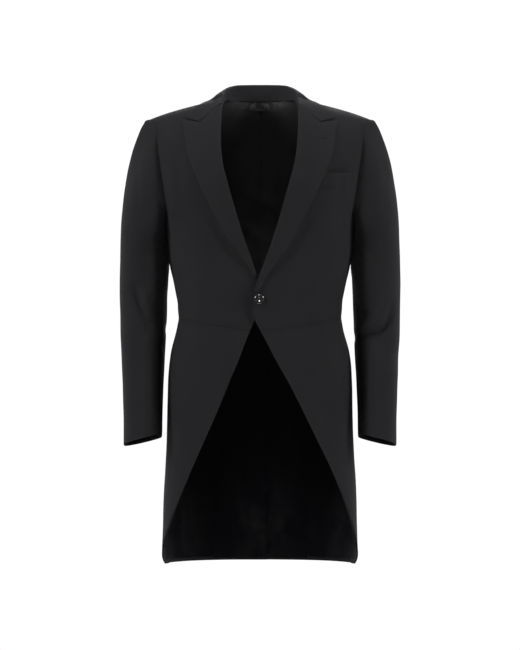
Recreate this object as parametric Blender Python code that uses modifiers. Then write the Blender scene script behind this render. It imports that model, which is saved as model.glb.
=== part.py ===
"""A morning coat: a single-button formal jacket with peaked lapels, cut away from the waist to tails.

It stands filled out, as when worn, and is a set of cut pieces: foreparts, side bodies, backs with
their tails, skirts, two-piece sleeves, collar, lapels, chest welt, buttons and the lining that shows.

The tables are in millimetres and degrees. The origin is the middle of the neck opening, level with
the neck points. +X is the wearer's left, +Y the wearer's back, +Z up. A bearing is measured round
the body from centre front, through the side at 90, to centre back at 180.
"""

import math
from collections import namedtuple

import bmesh
import bpy
import numpy as np
from mathutils import Matrix, Vector

MM = 0.001

# Driving dimensions, in millimetres
CLOTH = 1.6  # wall of a body or sleeve panel: wool on its canvas
LAPEL = 2.0  # wall of a lapel or of the collar: two layers of wool
LINING = 1.0
SEAM = 0.3  # gap between pieces at a seam
LINING_CLEAR = 1.5  # gap between a wall and the lining behind it
ARMPIT = -250.0
YOKE = -150.0  # above this level the rows rise to the shoulder seam
SIDE_SEAM = 92.0
NECKLINE = 5.0  # height of the back neck's seam
SHOULDER_TIP = 226.0
NECK_POINT = 80.0
RIDGE = 8.0  # how far behind the origin the shoulder seams run
HEM = -949.0
WAIST_FRONT = -472.0
WAIST_SIDE = -448.0
WRAP = 2.2  # the left front stands out by this, and the right front in, where they lap
FRONT_BUTTON_HEIGHT = -407.0
FRONT_BUTTON = 20.0
FACING_WIDTH = 28.0
HEM_SHOWS = 12.0  # wool turned up inside the hem, below the lining
LINING_PAST = {1: -15.0, -1: 11.0}  # how far each tail's lining passes the centre line
BEHIND = CLOTH + LINING_CLEAR  # how far behind a panel's outer face its lining starts

Ring = namedtuple("Ring", "height half_width front back square")
BODY = (
    Ring(-40, 238, 110, 100, 3.0),
    Ring(-90, 230, 115, 108, 3.0),
    Ring(-150, 214, 119, 116, 3.0),
    Ring(-208, 202, 121, 118, 2.9),
    Ring(-250, 190, 120, 117, 2.7),
    Ring(-300, 186.5, 118, 111, 2.5),
    Ring(-330, 184.5, 116, 106, 2.4),
    Ring(-355, 179.5, 115, 102, 2.35),
    Ring(-390, 172.5, 113, 97, 2.35),
    Ring(-420, 168, 111, 93, 2.35),
    Ring(-442, 166.5, 110, 92, 2.35),
    Ring(-462, 168.5, 110, 93, 2.35),
    Ring(-488, 175, 111, 97, 2.35),
    Ring(-516, 182, 112, 103, 2.35),
    Ring(-545, 186, 113, 110, 2.4),
    Ring(-590, 188, 114, 118, 2.4),
    Ring(-640, 189, 115, 121, 2.4),
    Ring(-700, 190.5, 116, 122, 2.4),
    Ring(-772, 195, 118, 122, 2.4),
    Ring(-826, 197, 119, 122, 2.4),
    Ring(-900, 199, 120, 122, 2.4),
    Ring(HEM, 201, 121, 122, 2.4),
)

# The shoulder seam seen from the front. Inside the neck point it is only a guide for the panels.
ShoulderPoint = namedtuple("ShoulderPoint", "across height")
SHOULDER = (
    ShoulderPoint(0, 60),
    ShoulderPoint(20, 57),
    ShoulderPoint(40, 46),
    ShoulderPoint(60, 25),
    ShoulderPoint(NECK_POINT, 5),
    ShoulderPoint(106, -4),
    ShoulderPoint(128, -8.8),
    ShoulderPoint(155, -16),
    ShoulderPoint(186, -25),
    ShoulderPoint(210, -33.2),
    ShoulderPoint(SHOULDER_TIP, -39.5),
    ShoulderPoint(245, -48),
)
FRONT_ROLL = 200.0  # height over which the shoulder rounds down into the chest
BACK_ROLL = 160.0

# The armhole, by bearings from centre front and from centre back
ArmholePoint = namedtuple("ArmholePoint", "height front back")
ARMHOLE = (
    ArmholePoint(-46, 73.6, 75.4),
    ArmholePoint(-64, 70.6, 73.6),
    ArmholePoint(-88, 70.8, 73.2),
    ArmholePoint(-118, 71.0, 73.0),
    ArmholePoint(YOKE, 71.3, 73.0),
    ArmholePoint(-182, 71.3, 73.4),
    ArmholePoint(-208, 71.6, 74.6),
    ArmholePoint(-230, 75.2, 78.0),
    ArmholePoint(-243, 81.6, 82.6),
)

# The front edges seen from the front, each towards its own side. Above the break it is the roll line.
EdgePoint = namedtuple("EdgePoint", "height over under")
FRONT_EDGE = (
    EdgePoint(8, 76.5, 76.5),
    EdgePoint(-20, 77.5, 77.5),
    EdgePoint(-60, 77, 79),
    EdgePoint(-100, 74.5, 78.5),
    EdgePoint(-135, 69, 74.5),
    EdgePoint(-175, 58, 64.5),
    EdgePoint(-218, 46, 52.5),
    EdgePoint(-258, 34.5, 40.5),
    EdgePoint(-295, 22.5, 28.5),
    EdgePoint(-328, 10.5, 16.5),
    EdgePoint(-366, -4, 4),
    EdgePoint(-390, -11, -6),
    EdgePoint(-408, -14, -6),
    EdgePoint(-428, -15, 1.2),
    EdgePoint(-449, -11, 10.3),
    EdgePoint(-482, 7.5, 25),
    EdgePoint(-526, 30, 41.5),
    EdgePoint(-572, 56, 61),
    EdgePoint(-622, 82, 81.5),
    EdgePoint(-680, 111, 107.5),
    EdgePoint(-731, 136.5, 130.5),
    EdgePoint(-782, 159, 152.5),
    EdgePoint(-824, 174.5, 170),
    EdgePoint(-862, 188, 184.5),
    EdgePoint(-898, 196.5, 196),
)
EDGE_END = -898.0
CORNER_BEARING = 101.0  # where the cut-away edge meets the hem, behind the side
BREAK = {1: -392.0, -1: -362.0}  # the foot of each lapel

# The back seam runs from the armhole to the waist, then down as the side pleat
BackSeamPoint = namedtuple("BackSeamPoint", "height across")
BACK_SEAM = (
    BackSeamPoint(-190, 178),
    BackSeamPoint(-230, 144),
    BackSeamPoint(-280, 107),
    BackSeamPoint(-340, 75),
    BackSeamPoint(-400, 56),
    BackSeamPoint(WAIST_SIDE, 50),
    BackSeamPoint(-520, 57),
    BackSeamPoint(-700, 80),
    BackSeamPoint(HEM, 104),
)

# The outer edge of the lapel, seen from the front, by its share of the way up
LapelPoint = namedtuple("LapelPoint", "share across height")
LAPEL_EDGE = {
    1: (
        LapelPoint(0, -2, -393),
        LapelPoint(0.07, 13, -364),
        LapelPoint(0.15, 30, -338),
        LapelPoint(0.27, 55, -303),
        LapelPoint(0.4, 77, -264),
        LapelPoint(0.55, 101.5, -216),
        LapelPoint(0.68, 121, -174),
        LapelPoint(0.8, 138, -134),
        LapelPoint(0.9, 148, -94),
        LapelPoint(1, 155.5, -47),
    ),
    -1: (
        LapelPoint(0, 12.5, -363),
        LapelPoint(0.07, 22, -344),
        LapelPoint(0.15, 38, -323),
        LapelPoint(0.27, 59, -293),
        LapelPoint(0.4, 80, -258),
        LapelPoint(0.55, 103.5, -212),
        LapelPoint(0.68, 121.5, -173),
        LapelPoint(0.8, 138, -134),
        LapelPoint(0.9, 148, -94),
        LapelPoint(1, 155.5, -45),
    ),
}
GORGE = (77.3, -12.0)  # where the gorge seam leaves the roll line, across and height
NOTCH = (122.0, -51.0)  # inner end of the notch between collar and peak
NOTCH_SHARE = 0.57  # the notch's share of the way across the lapel

# The collar, from centre back to its front end. The edge of the fall lies on the body.
# It is placed by its drop below the shoulder seam, counted negative behind it.
CollarPoint = namedtuple("CollarPoint", "share base_x base_y base_z fold_x fold_y fold_z edge_x edge_drop")
COLLAR = (
    CollarPoint(0, 0, 66, 2, 0, 75, 41, 0, -66),
    CollarPoint(0.14, 20, 64, 2, 24, 72.5, 40.5, 30, -58),
    CollarPoint(0.28, 40, 54.5, 2, 46, 62, 38.5, 58, -33.5),
    CollarPoint(0.42, 58, 36, 1, 62, 42, 31, 84, -10.5),
    CollarPoint(0.5, 66, 22, 1, 68, 27, 25, 96, -4),
    CollarPoint(0.58, 71, 9, -1, 73, 12, 17, 105, 0),
    CollarPoint(0.68, 74, -4, -5, 75.5, -2, 8, 115, 2.5),
    CollarPoint(0.84, 76, -14, -11, 76.8, -12, 1.5, 132, 10),
)
COLLAR_CORNER = (151.0, -41.0)
COLLAR_END_GAP = 1.2

SleeveRing = namedtuple("SleeveRing", "height outer inner depth_middle half_depth tip")
SLEEVE = (
    SleeveRing(-300, 286, 187.5, 20, 74, 0.0),
    SleeveRing(-345, 287, 187.3, 21, 71.5, 0.0),
    SleeveRing(-390, 287.5, 188.8, 21, 69, 0.02),
    SleeveRing(-432, 286.5, 190, 18, 66.5, 0.06),
    SleeveRing(-475, 285.5, 191.5, 12, 64, 0.11),
    SleeveRing(-518, 283, 193.5, 4, 61.5, 0.15),
    SleeveRing(-560, 281, 195.5, -5, 59, 0.16),
    SleeveRing(-605, 278.5, 197, -14, 56.5, 0.16),
    SleeveRing(-645, 277, 198, -23, 54.5, 0.13),
    SleeveRing(-682, 276.5, 198.5, -31, 53, 0.1),
)
CUFF_SLOPE = 0.24  # the cuff falls towards the outside by this share of the way across
SLEEVE_SQUARE = 2.2
CAP_ROWS = (0.0, 0.1, 0.24, 0.42, 0.62, 0.82)
FORESEAM_HEIGHT = -208.0  # where the sleeve's front seam meets the armhole
HINDSEAM_HEIGHT = -182.0  # the same at the back

# Soft folds of the sleeves: height, turn round the sleeve, reach along and round, and depth
Fold = namedtuple("Fold", "height turn slant tall wide depth")
FOLDS = {
    1: (
        Fold(-484, 105, 0.45, 13, 62, 4.5),
        Fold(-452, 120, 0.35, 12, 46, 3.0),
        Fold(-415, 135, 0.25, 16, 40, 2.5),
        Fold(-300, 118, 0.9, 20, 36, 2.5),
        Fold(-505, 262, -0.2, 16, 40, 2.5),
    ),
    -1: (
        Fold(-420, 138, 0.3, 13, 38, 3.5),
        Fold(-462, 112, 0.8, 18, 50, 3.0),
        Fold(-300, 112, 0.9, 22, 36, 2.5),
        Fold(-380, 80, 1.6, 20, 40, 2.0),
        Fold(-500, 264, -0.2, 16, 40, 2.5),
    ),
}


class Curve:
    """A smooth curve through a table's points, which never swings past them."""

    def __init__(self, places, values):
        order = np.argsort(places)
        self.x = np.array(places, float)[order]
        self.y = np.array(values, float)[order]
        width = np.diff(self.x)
        rise = np.diff(self.y) / width
        self.slope = np.concatenate([rise[:1], np.zeros(len(rise) - 1), rise[-1:]])
        for i in range(1, len(rise)):
            if rise[i - 1] * rise[i] > 0:
                first = 2 * width[i] + width[i - 1]
                second = width[i] + 2 * width[i - 1]
                self.slope[i] = (first + second) / (first / rise[i - 1] + second / rise[i])

    def __call__(self, place):
        place = min(max(place, self.x[0]), self.x[-1])
        i = min(int(np.searchsorted(self.x, place, "right")) - 1, len(self.x) - 2)
        width = self.x[i + 1] - self.x[i]
        u = (place - self.x[i]) / width
        return (
            self.y[i] * (1 + 2 * u) * (1 - u) ** 2
            + self.y[i + 1] * u * u * (3 - 2 * u)
            + width * u * (1 - u) * ((1 - u) * self.slope[i] - u * self.slope[i + 1])
        )


def curves(table, place):
    """One curve for each other column of a table, against the column that is named."""
    names = [name for name in table[0]._fields if name != place]
    places = [getattr(row, place) for row in table]
    return {name: Curve(places, [getattr(row, name) for row in table]) for name in names}


body_ring = curves(BODY, "height")
shoulder_height = curves(SHOULDER, "across")["height"]
armhole = curves(ARMHOLE, "height")
front_edge = curves(FRONT_EDGE, "height")
back_seam = curves(BACK_SEAM, "height")["across"]
lapel_edge = {side: curves(LAPEL_EDGE[side], "share") for side in (1, -1)}
collar_line = curves(COLLAR, "share")
sleeve_ring = curves(SLEEVE, "height")


def lerp(a, b, share):
    return a + (b - a) * share


def ease(share):
    """0 below 0, 1 above 1 and smooth between."""
    share = min(max(share, 0.0), 1.0)
    return share * share * (3 - 2 * share)


def bell(distance, width):
    return math.exp(-((distance / width) ** 2))


# The body's own surface


def ring_point(bearing, height):
    """Across and depth of the body's level section, before the shoulder rounds it off."""
    turn = math.radians(bearing)
    s, c = math.sin(turn), math.cos(turn)
    depth = body_ring["front" if c > 0 else "back"](height)
    power = body_ring["square"](height)
    size = (abs(s / body_ring["half_width"](height)) ** power + abs(c / depth) ** power) ** (-1 / power)
    return size * s, -size * c


def bearing_at(across, height, back=False):
    """The bearing at which the body's section is this far from the centre line."""
    half_width = body_ring["half_width"](height)
    power = body_ring["square"](height)
    depth = body_ring["back" if back else "front"](height)
    share = min(abs(across) / half_width, 0.9999)
    middle = depth * (1 - share**power) ** (1 / power)
    return math.degrees(math.atan2(across, -middle if back else middle))


def rounding(drop):
    """How far out the cloth is, from 0 at the shoulder seam to 1 at the foot of the rounding."""
    drop = min(max(drop, 0.0), 1.0)
    return 1.7 * drop**0.7 - 0.7 * drop**1.7


def body(bearing, height):
    """A point of the body's outer surface."""
    x, y = ring_point(bearing, height)
    reach = FRONT_ROLL if abs(bearing) < 90 else BACK_ROLL
    out = rounding((shoulder_height(abs(x)) - height) / reach)
    return np.array([x, RIDGE + (y - RIDGE) * out, height])


def waist_seam(bearing):
    return lerp(WAIST_FRONT, WAIST_SIDE, math.sin(math.radians(min(abs(bearing), 90))) ** 2)


def raised_row(bearing, share):
    """Height on a row that is level at share 1 and is the shoulder seam and neckline at share 0."""
    height = YOKE
    for _ in range(12):
        top = shoulder_height(abs(ring_point(bearing, height)[0]))
        top = min(top, NECKLINE + 1.0) if bearing > 90 else top
        height = top - (top - YOKE) * share
    return height


def share_at(bearing, height):
    top = shoulder_height(abs(ring_point(bearing, height)[0]))
    return (top - height) / (top - YOKE)


def lap(side, bearing, height):
    """How far the fronts stand out, or in, where the left one laps over the right."""
    across = ring_point(bearing, height)[0]
    near = ease((95 - across) / 70)
    tall = ease((height + 540) / 80) * ease((-250 - height) / 90)
    return side * WRAP * near * tall


def edge_bearing(side, height):
    """The bearing of the front edge: the roll line, then the wrap, then the cut-away edge."""
    column = front_edge["over" if side > 0 else "under"]
    if height >= EDGE_END:
        return bearing_at(column(height), height)
    last = bearing_at(column(EDGE_END), EDGE_END)
    return lerp(last, CORNER_BEARING, ((EDGE_END - height) / (EDGE_END - HEM)) ** 1.5)


def body_normal(bearing, height):
    """The way out of the body's surface. On the shoulder seam it leans neither forward nor back."""
    step = 0.4
    across = body(bearing + step, height) - body(bearing - step, height)
    up = body(bearing, height) - body(bearing, height - 2.0)
    normal = np.cross(across, up)
    normal /= np.linalg.norm(normal)
    drop = (shoulder_height(abs(body(bearing, height)[0])) - height) / FRONT_ROLL
    normal[1] *= min(max(drop / 0.03, 0.0), 1.0)
    return normal / np.linalg.norm(normal)


def on_body(bearing, height, out=0.0):
    """A place on the body with its way out."""
    normal = body_normal(bearing, height)
    return body(bearing, height) + out * normal, normal


ROUNDING_DROPS = np.linspace(0, 1, 300) ** 2
ROUNDING_OUTS = np.array([rounding(drop) for drop in ROUNDING_DROPS])


def body_top(x, y):
    """Height of the shoulders' surface straight above or below a place seen from the top."""
    front = y < RIDGE
    height = shoulder_height(abs(x)) - 20.0
    for _ in range(10):
        half_width = body_ring["half_width"](height)
        power = body_ring["square"](height)
        depth = body_ring["front" if front else "back"](height)
        ring = depth * (1 - min(abs(x) / half_width, 0.99) ** power) ** (1 / power)
        ring = -ring if front else ring
        out = min(max((y - RIDGE) / (ring - RIDGE), 0.0), 0.995)
        drop = float(np.interp(out, ROUNDING_OUTS, ROUNDING_DROPS))
        height = shoulder_height(abs(x)) - drop * (FRONT_ROLL if front else BACK_ROLL)
    return float(height)


# Sheets and walls from grids of points


def coat_collection():
    collection = bpy.data.collections.get("morning_coat")
    if collection is None:
        collection = bpy.data.collections.new("morning_coat")
        bpy.context.scene.collection.children.link(collection)
    return collection


def material(name, colour, roughness, metallic=0.0):
    made = bpy.data.materials.new(name)
    made.use_nodes = True
    shader = made.node_tree.nodes["Principled BSDF"]
    shader.inputs["Base Color"].default_value = (*colour, 1.0)
    shader.inputs["Roughness"].default_value = roughness
    shader.inputs["Metallic"].default_value = metallic
    return made


def add_object(name, cage, surface):
    mesh = bpy.data.meshes.new(name)
    cage.to_mesh(mesh)
    cage.free()
    mesh.shade_smooth()
    mesh.set_sharp_from_angle(angle=math.radians(40))
    mesh.materials.append(surface)
    thing = bpy.data.objects.new(name, mesh)
    coat_collection().objects.link(thing)
    return thing


def flat_grid(cage, rows, columns, level=0.0):
    place = Matrix.Translation((0, 0, level))
    bmesh.ops.create_grid(cage, x_segments=columns - 1, y_segments=rows - 1, size=0.5, matrix=place)


def drape(cage, layers):
    """Moves the points of one or two flat grids to their places on the cloth."""
    rows, columns = layers[0].shape[:2]
    for vert in cage.verts:
        c, r = round((vert.co.x + 0.5) * (columns - 1)), round((vert.co.y + 0.5) * (rows - 1))
        vert.co = Vector(layers[round(vert.co.z)][r, c]) * MM


def wall(name, outer, inner, surface):
    """A wall lofted between two grids of points. They are two sheets, bridged all round their rims."""
    outer, inner = np.array(outer), np.array(inner)
    cage = bmesh.new()
    for level in (0, 1):
        flat_grid(cage, *outer.shape[:2], level)
    bmesh.ops.bridge_loops(cage, edges=[edge for edge in cage.edges if edge.is_boundary])
    drape(cage, (outer, inner))
    bmesh.ops.recalc_face_normals(cage, faces=cage.faces[:])
    if cage.calc_volume(signed=True) < 0:
        bmesh.ops.reverse_faces(cage, faces=cage.faces[:])
    return add_object(name, cage, surface)


def sheet(name, side, points, surface, out=0.0, thick=LINING):
    """An open sheet of cloth, thickened inward."""
    mirror = np.array([side, 1, 1])
    places = np.array([[(p + out * n) * mirror for p, n in row] for row in points])
    cage = bmesh.new()
    flat_grid(cage, *places.shape[:2])
    drape(cage, (places,))
    bmesh.ops.remove_doubles(cage, verts=cage.verts[:], dist=0.000001)
    cage.normal_update()
    cage.faces.ensure_lookup_table()
    face = cage.faces[0]
    r, c = 0, 0
    way_out = Vector((points[r][c][1] + points[r + 1][c + 1][1]) * mirror)
    if face.normal.dot(way_out) < 0:
        bmesh.ops.reverse_faces(cage, faces=cage.faces[:])
    thing = add_object(name, cage, surface)
    thicken = thing.modifiers.new("Thickness", "SOLIDIFY")
    thicken.thickness = thick * MM
    thicken.offset = -1.0
    return thing


def trimmed(points, low_row=0.0, high_row=0.0, low_column=0.0, high_column=0.0):
    """Draws the edges of a grid in along its own surface, for the gap at each seam."""
    points = [[(np.array(p), np.array(n)) for p, n in row] for row in points]

    def draw(edge, beside, amount):
        line = [points[r][c][0] for r, c in edge]
        for i, ((r, c), (u, v)) in enumerate(zip(edge, beside)):
            along = line[min(i + 1, len(line) - 1)] - line[max(i - 1, 0)]
            along /= np.linalg.norm(along)
            inward = points[u][v][0] - line[i]
            inward = inward - along * np.dot(inward, along)
            points[r][c] = (line[i] + inward / np.linalg.norm(inward) * amount, points[r][c][1])

    rows, columns = len(points), len(points[0])
    if low_row:
        draw([(0, c) for c in range(columns)], [(1, c) for c in range(columns)], low_row)
    if high_row:
        draw([(rows - 1, c) for c in range(columns)], [(rows - 2, c) for c in range(columns)], high_row)
    if low_column:
        draw([(r, 0) for r in range(rows)], [(r, 1) for r in range(rows)], low_column)
    if high_column:
        draw([(r, columns - 1) for r in range(rows)], [(r, columns - 2) for r in range(rows)], high_column)
    return points


def panel(name, side, points, surface, thick=CLOTH):
    """A wall whose outer face lies on the points. It shares its way out with its neighbours at seams."""
    mirror = np.array([side, 1, 1])
    outer = [[p * mirror for p, n in row] for row in points]
    inner = [[(p - thick * n) * mirror for p, n in row] for row in points]
    return wall(name, outer, inner, surface)


def grid(point, across, up):
    return [[point(s, t) for s in across] for t in up]


def even(count):
    return np.linspace(0, 1, count + 1)


# Panels of the body, each as a surface of two shares: s away from the centre line and t upward


def stations(values):
    """Turns a share from 0 to 1 into a place along a list, with its members evenly spread."""
    shares = np.linspace(0, 1, len(values))
    return lambda share: float(np.interp(share, shares, values))


ARMHOLE_HEIGHTS = [point.height for point in ARMHOLE]
LOW_ARMHOLE = [h for h in ARMHOLE_HEIGHTS if h < YOKE][::-1]
HIGH_ARMHOLE = [h for h in ARMHOLE_HEIGHTS if h > YOKE][::-1]
TIP_HEIGHT = float(shoulder_height(SHOULDER_TIP))
TAIL_ROWS = [HEM, -900, -850, -790, -730, -670, -610, -560, -520, -490, -468]
SIDE_ROWS = [*np.linspace(WAIST_SIDE, ARMPIT, 7), *LOW_ARMHOLE, YOKE]
FRONT_ROWS = [*SIDE_ROWS, *HIGH_ARMHOLE, TIP_HEIGHT]
BACK_ROWS = [*TAIL_ROWS, *SIDE_ROWS, *HIGH_ARMHOLE, TIP_HEIGHT]
SIDE_TIP = 0.35  # width in degrees of the side body where it ends on the armhole
ROLL_MARGIN = 2.6  # the forepart stops this far short of the roll line, where the lapel wraps it
VENT_TOP = -470.0
VENT_LAP = 13.0  # how far each tail passes the centre line


def armhole_bearing(height, back=False):
    """Bearing of the armhole's edge, exact at its tip and at the armpit."""
    tip = bearing_at(SHOULDER_TIP, TIP_HEIGHT, back)
    side = 180 - SIDE_SEAM if back else SIDE_SEAM
    table = armhole["back" if back else "front"]
    top, bottom = ARMHOLE_HEIGHTS[0], ARMHOLE_HEIGHTS[-1]
    bearing = table(height)
    if height > top:
        bearing = lerp(table(top), 180 - tip if back else tip, (height - top) / (TIP_HEIGHT - top))
    if height < bottom:
        bearing = lerp(table(bottom), side, (bottom - height) / (bottom - ARMPIT))
    return 180 - bearing if back else bearing


def row_height(bearing, outer_height, outer_bearing):
    """Height at a bearing on the row that leaves the armhole or side seam at the given place."""
    if outer_height <= ARMPIT:
        share = (outer_height - WAIST_SIDE) / (ARMPIT - WAIST_SIDE)
        return lerp(waist_seam(bearing), ARMPIT, share)
    if outer_height <= YOKE:
        return outer_height
    return raised_row(bearing, share_at(outer_bearing, outer_height))


def forepart(side):
    outer_at = stations(FRONT_ROWS)
    column = front_edge["over" if side > 0 else "under"]

    def point(s, t):
        outer_height = outer_at(t)
        outer = SIDE_SEAM if outer_height <= ARMPIT else armhole_bearing(outer_height)
        height = outer_height
        for _ in range(10):
            under_lapel = ease((height - BREAK[side] + 34) / 30)
            inner = bearing_at(column(height) + ROLL_MARGIN * under_lapel, height)
            inner = math.copysign(inner, column(height) + ROLL_MARGIN * under_lapel)
            height = row_height(inner, outer_height, outer)
        bearing = lerp(inner, outer, s)
        height = row_height(bearing, outer_height, outer)
        return on_body(bearing, height, lap(side, bearing, height))

    return point


def skirt(side):
    def point(s, t):
        height = low = lerp(HEM, waist_seam(40), t)
        for _ in range(6):
            inner = edge_bearing(side, height)
            height = lerp(HEM, waist_seam(inner), t)
            outer = back_edge(low)
            low = lerp(HEM, waist_seam(outer), t)
        bearing = lerp(inner, outer, s)
        height = lerp(HEM, waist_seam(bearing), t)
        return on_body(bearing, height, lap(side, bearing, height))

    return point


def back_edge(height):
    """Bearing of the back seam and, below the waist, of the side pleat."""
    top = -190.0
    if height <= top:
        return bearing_at(back_seam(height), height, back=True)
    below = bearing_at(back_seam(top), top, back=True)
    return lerp(below, armhole_bearing(YOKE, back=True) + SIDE_TIP, (height - top) / (YOKE - top))


def back(side, past_centre=VENT_LAP):
    """From the neck and shoulder to the hem of the tail. Its inner edge is the centre back seam."""
    outer_at = stations(BACK_ROWS)

    def point(s, t):
        outer_height = outer_at(t)
        share = None
        if outer_height > YOKE:
            outer = armhole_bearing(outer_height, back=True)
            share = share_at(outer, outer_height)
        else:
            outer = back_edge(outer_height)
        start = WAIST_SIDE if past_centre > 0 else WAIST_SIDE + 33
        past = past_centre * ease((start - outer_height) / (WAIST_SIDE - VENT_TOP))
        inner = 180 + math.copysign(180 - bearing_at(abs(past), outer_height, back=True), past)
        bearing = lerp(inner, outer, s)
        height = outer_height if share is None else raised_row(bearing, share)
        near = ease((52 - abs(ring_point(bearing, height)[0])) / 34)
        apart = side * 1.4 * near * ease((-415 - height) / 33)
        return on_body(bearing, height, apart)

    return point


def side_body():
    """Under the arm, from the side seam to the back seam."""
    levels = stations(SIDE_ROWS)

    def point(s, t):
        height = levels(t)
        inner = SIDE_SEAM
        if height > ARMPIT:
            inner = armhole_bearing(height, back=True)
        outer = back_edge(height)
        bearing = lerp(inner, outer, s)
        return on_body(bearing, height)

    return point


# Lapels: moved out from the forepart, with a turned edge along the roll line


def lapel_line(side, u, s):
    """Across and height of a place on the lapel, u up it from its foot and s away from its roll."""
    column = front_edge["over" if side > 0 else "under"]
    roll_height = lerp(BREAK[side], GORGE[1], u)
    start = np.array([column(roll_height), roll_height])
    end = np.array([lapel_edge[side]["across"](u), lapel_edge[side]["height"](u)])
    straight = lerp(start, end, s)
    top_start = np.array([column(GORGE[1]), GORGE[1]])
    top_end = np.array([lapel_edge[side]["across"](1.0), lapel_edge[side]["height"](1.0)])
    notch = np.array(NOTCH)
    if s < NOTCH_SHARE:
        bent = lerp(top_start, notch, s / NOTCH_SHARE)
    else:
        bent = lerp(notch, top_end, (s - NOTCH_SHARE) / (1 - NOTCH_SHARE))
    bend = bent - lerp(top_start, top_end, s)
    return straight + bend * ease((u - 0.72) / 0.28)


def lapel_out(side, u, s, wide):
    """How far the lapel's outer face stands off the forepart: it springs a little from its roll."""
    spring = 2.6 * math.sin(math.pi * min(s * wide / 46, 1.0)) * ease(wide / 40)
    return SEAM + LAPEL + spring * (1 - s) + 0.5


LAPEL_TURN = LAPEL + 1.4  # how much of the lapel's width its turned edge takes


def lapel(side, name, surface):
    full = np.linalg.norm(lapel_line(side, 1.0, 1) - lapel_line(side, 1.0, 0))
    notch_column = (NOTCH_SHARE * full - LAPEL_TURN) / (full - LAPEL_TURN)
    across = [0.0, 0.08, 0.19, 0.31, 0.43, notch_column, 0.7, 0.85, 1.0]
    up = [0.0, 0.04, 0.09, *np.linspace(0.15, 0.95, 13), 1.0]
    outer, inner = [], []
    for u in up:
        start, end = lapel_line(side, u, 0), lapel_line(side, u, 1)
        wide = float(np.linalg.norm(end - start))

        def ground_at(s):
            x, height = lapel_line(side, u, s)
            bearing = math.copysign(bearing_at(x, height), x)
            place, normal = on_body(bearing, height, lap(side, bearing, height))
            return place - np.array([0, 0, SEAM if u == 1.0 else 0]), normal

        root, normal = ground_at(0)
        ahead = ground_at(LAPEL_TURN / wide)[0] - root
        ahead /= np.linalg.norm(ahead)
        lift = SEAM + LAPEL + 0.5
        outer_row = [root - CLOTH * normal, root + (lift - 1.0) * normal, root + lift * normal + 1.0 * ahead]
        inner_row = [
            root - CLOTH * normal + LAPEL * ahead,
            root + (lift - LAPEL - 0.3) * normal + LAPEL * ahead,
            root + (lift - LAPEL) * normal + (LAPEL + 0.4) * ahead,
        ]
        for share in across:
            s = (LAPEL_TURN + (wide - LAPEL_TURN) * share) / wide
            ground, normal = ground_at(s)
            lift = lapel_out(side, u, s, wide)
            outer_row.append(ground + lift * normal)
            inner_row.append(ground + (lift - LAPEL) * normal)
        outer.append(outer_row)
        inner.append(inner_row)
    mirror = np.array([side, 1, 1])
    outer = [[p * mirror for p in row] for row in outer]
    inner = [[p * mirror for p in row] for row in inner]
    return wall(name, outer, inner, surface)


# Collar: one folded piece, from its seam with the neck up to the fold and down to its edge

STAND_ROWS = 3
FALL_ROWS = [0.12, 0.28, 0.44, NOTCH_SHARE, 0.78, 1.0]
COLLAR_SHARES = [0.0, 0.07, 0.14, 0.21, 0.28, 0.35, 0.42, 0.485, 0.55, 0.615, 0.68, 0.76, 0.84, 0.92, 1.0]


def collar_mid(u):
    """Middle of the collar's wall at one station, from the stand's base to the fall's edge."""
    at = min(u, 0.84)
    base = np.array([collar_line[k](at) for k in ("base_x", "base_y", "base_z")])
    fold = np.array([collar_line[k](at) for k in ("fold_x", "fold_y", "fold_z")])
    edge_x, drop = collar_line["edge_x"](at), collar_line["edge_drop"](at)
    rear = drop < 0
    edge_z = shoulder_height(edge_x) - abs(drop)
    edge = body(bearing_at(edge_x, edge_z, back=rear), edge_z)
    lift = SEAM + LAPEL / 2 + 1.4
    stand = [lerp(base, fold, t) for t in (0.0, 0.45, 0.85)]
    outward = np.array([fold[0], fold[1] - RIDGE, 0.0])
    outward /= np.linalg.norm(outward)
    fall = []
    for s in FALL_ROWS:
        place = lerp(fold, edge, s) + outward * 9.0 * math.sin(math.pi * s) * (1 - ease((at - 0.3) / 0.3))
        place[2] += 5.0 * math.sin(math.pi * s) * (1 - ease((at - 0.5) / 0.25))
        ground = body_top(place[0], place[1])
        slope = body_top(place[0], place[1] + (1 if rear else -1)) - ground
        place[2] = max(place[2], ground + lift * math.hypot(1, slope))
        if at >= 0.68:
            place[2] = ground + lift * math.hypot(1, slope)
        fall.append(place)
    if u > 0.84:
        share = (u - 0.84) / 0.16
        ends = []
        corner = np.array(COLLAR_CORNER)
        start, notch = (np.array(place) + np.array([0.0, COLLAR_END_GAP]) for place in (GORGE, NOTCH))
        for s in FALL_ROWS:
            if s <= NOTCH_SHARE:
                x, height = lerp(start, notch, s / NOTCH_SHARE)
            else:
                x, height = lerp(notch, corner, (s - NOTCH_SHARE) / (1 - NOTCH_SHARE))
            p, n = on_body(bearing_at(x, height), height, lift)
            ends.append(p)
        fall = [lerp(a, b, share) for a, b in zip(fall, ends)]
        lifted = []
        for place in fall:
            ground = body_top(place[0], place[1])
            slope = body_top(place[0], place[1] - 1) - ground
            lifted.append(np.array([place[0], place[1], ground + lift * math.hypot(1, slope)]))
        fall = lifted
        p, n = on_body(bearing_at(*start), start[1])
        p = p + np.array([LAPEL / 2, 0.0, 0.0])
        ends = [p + n * lerp(-CLOTH, lift * 0.7, t) for t in (0.0, 0.5, 1.0)]
        stand = [lerp(a, b, share) for a, b in zip(stand, ends)]
    return stand + fall


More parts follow.
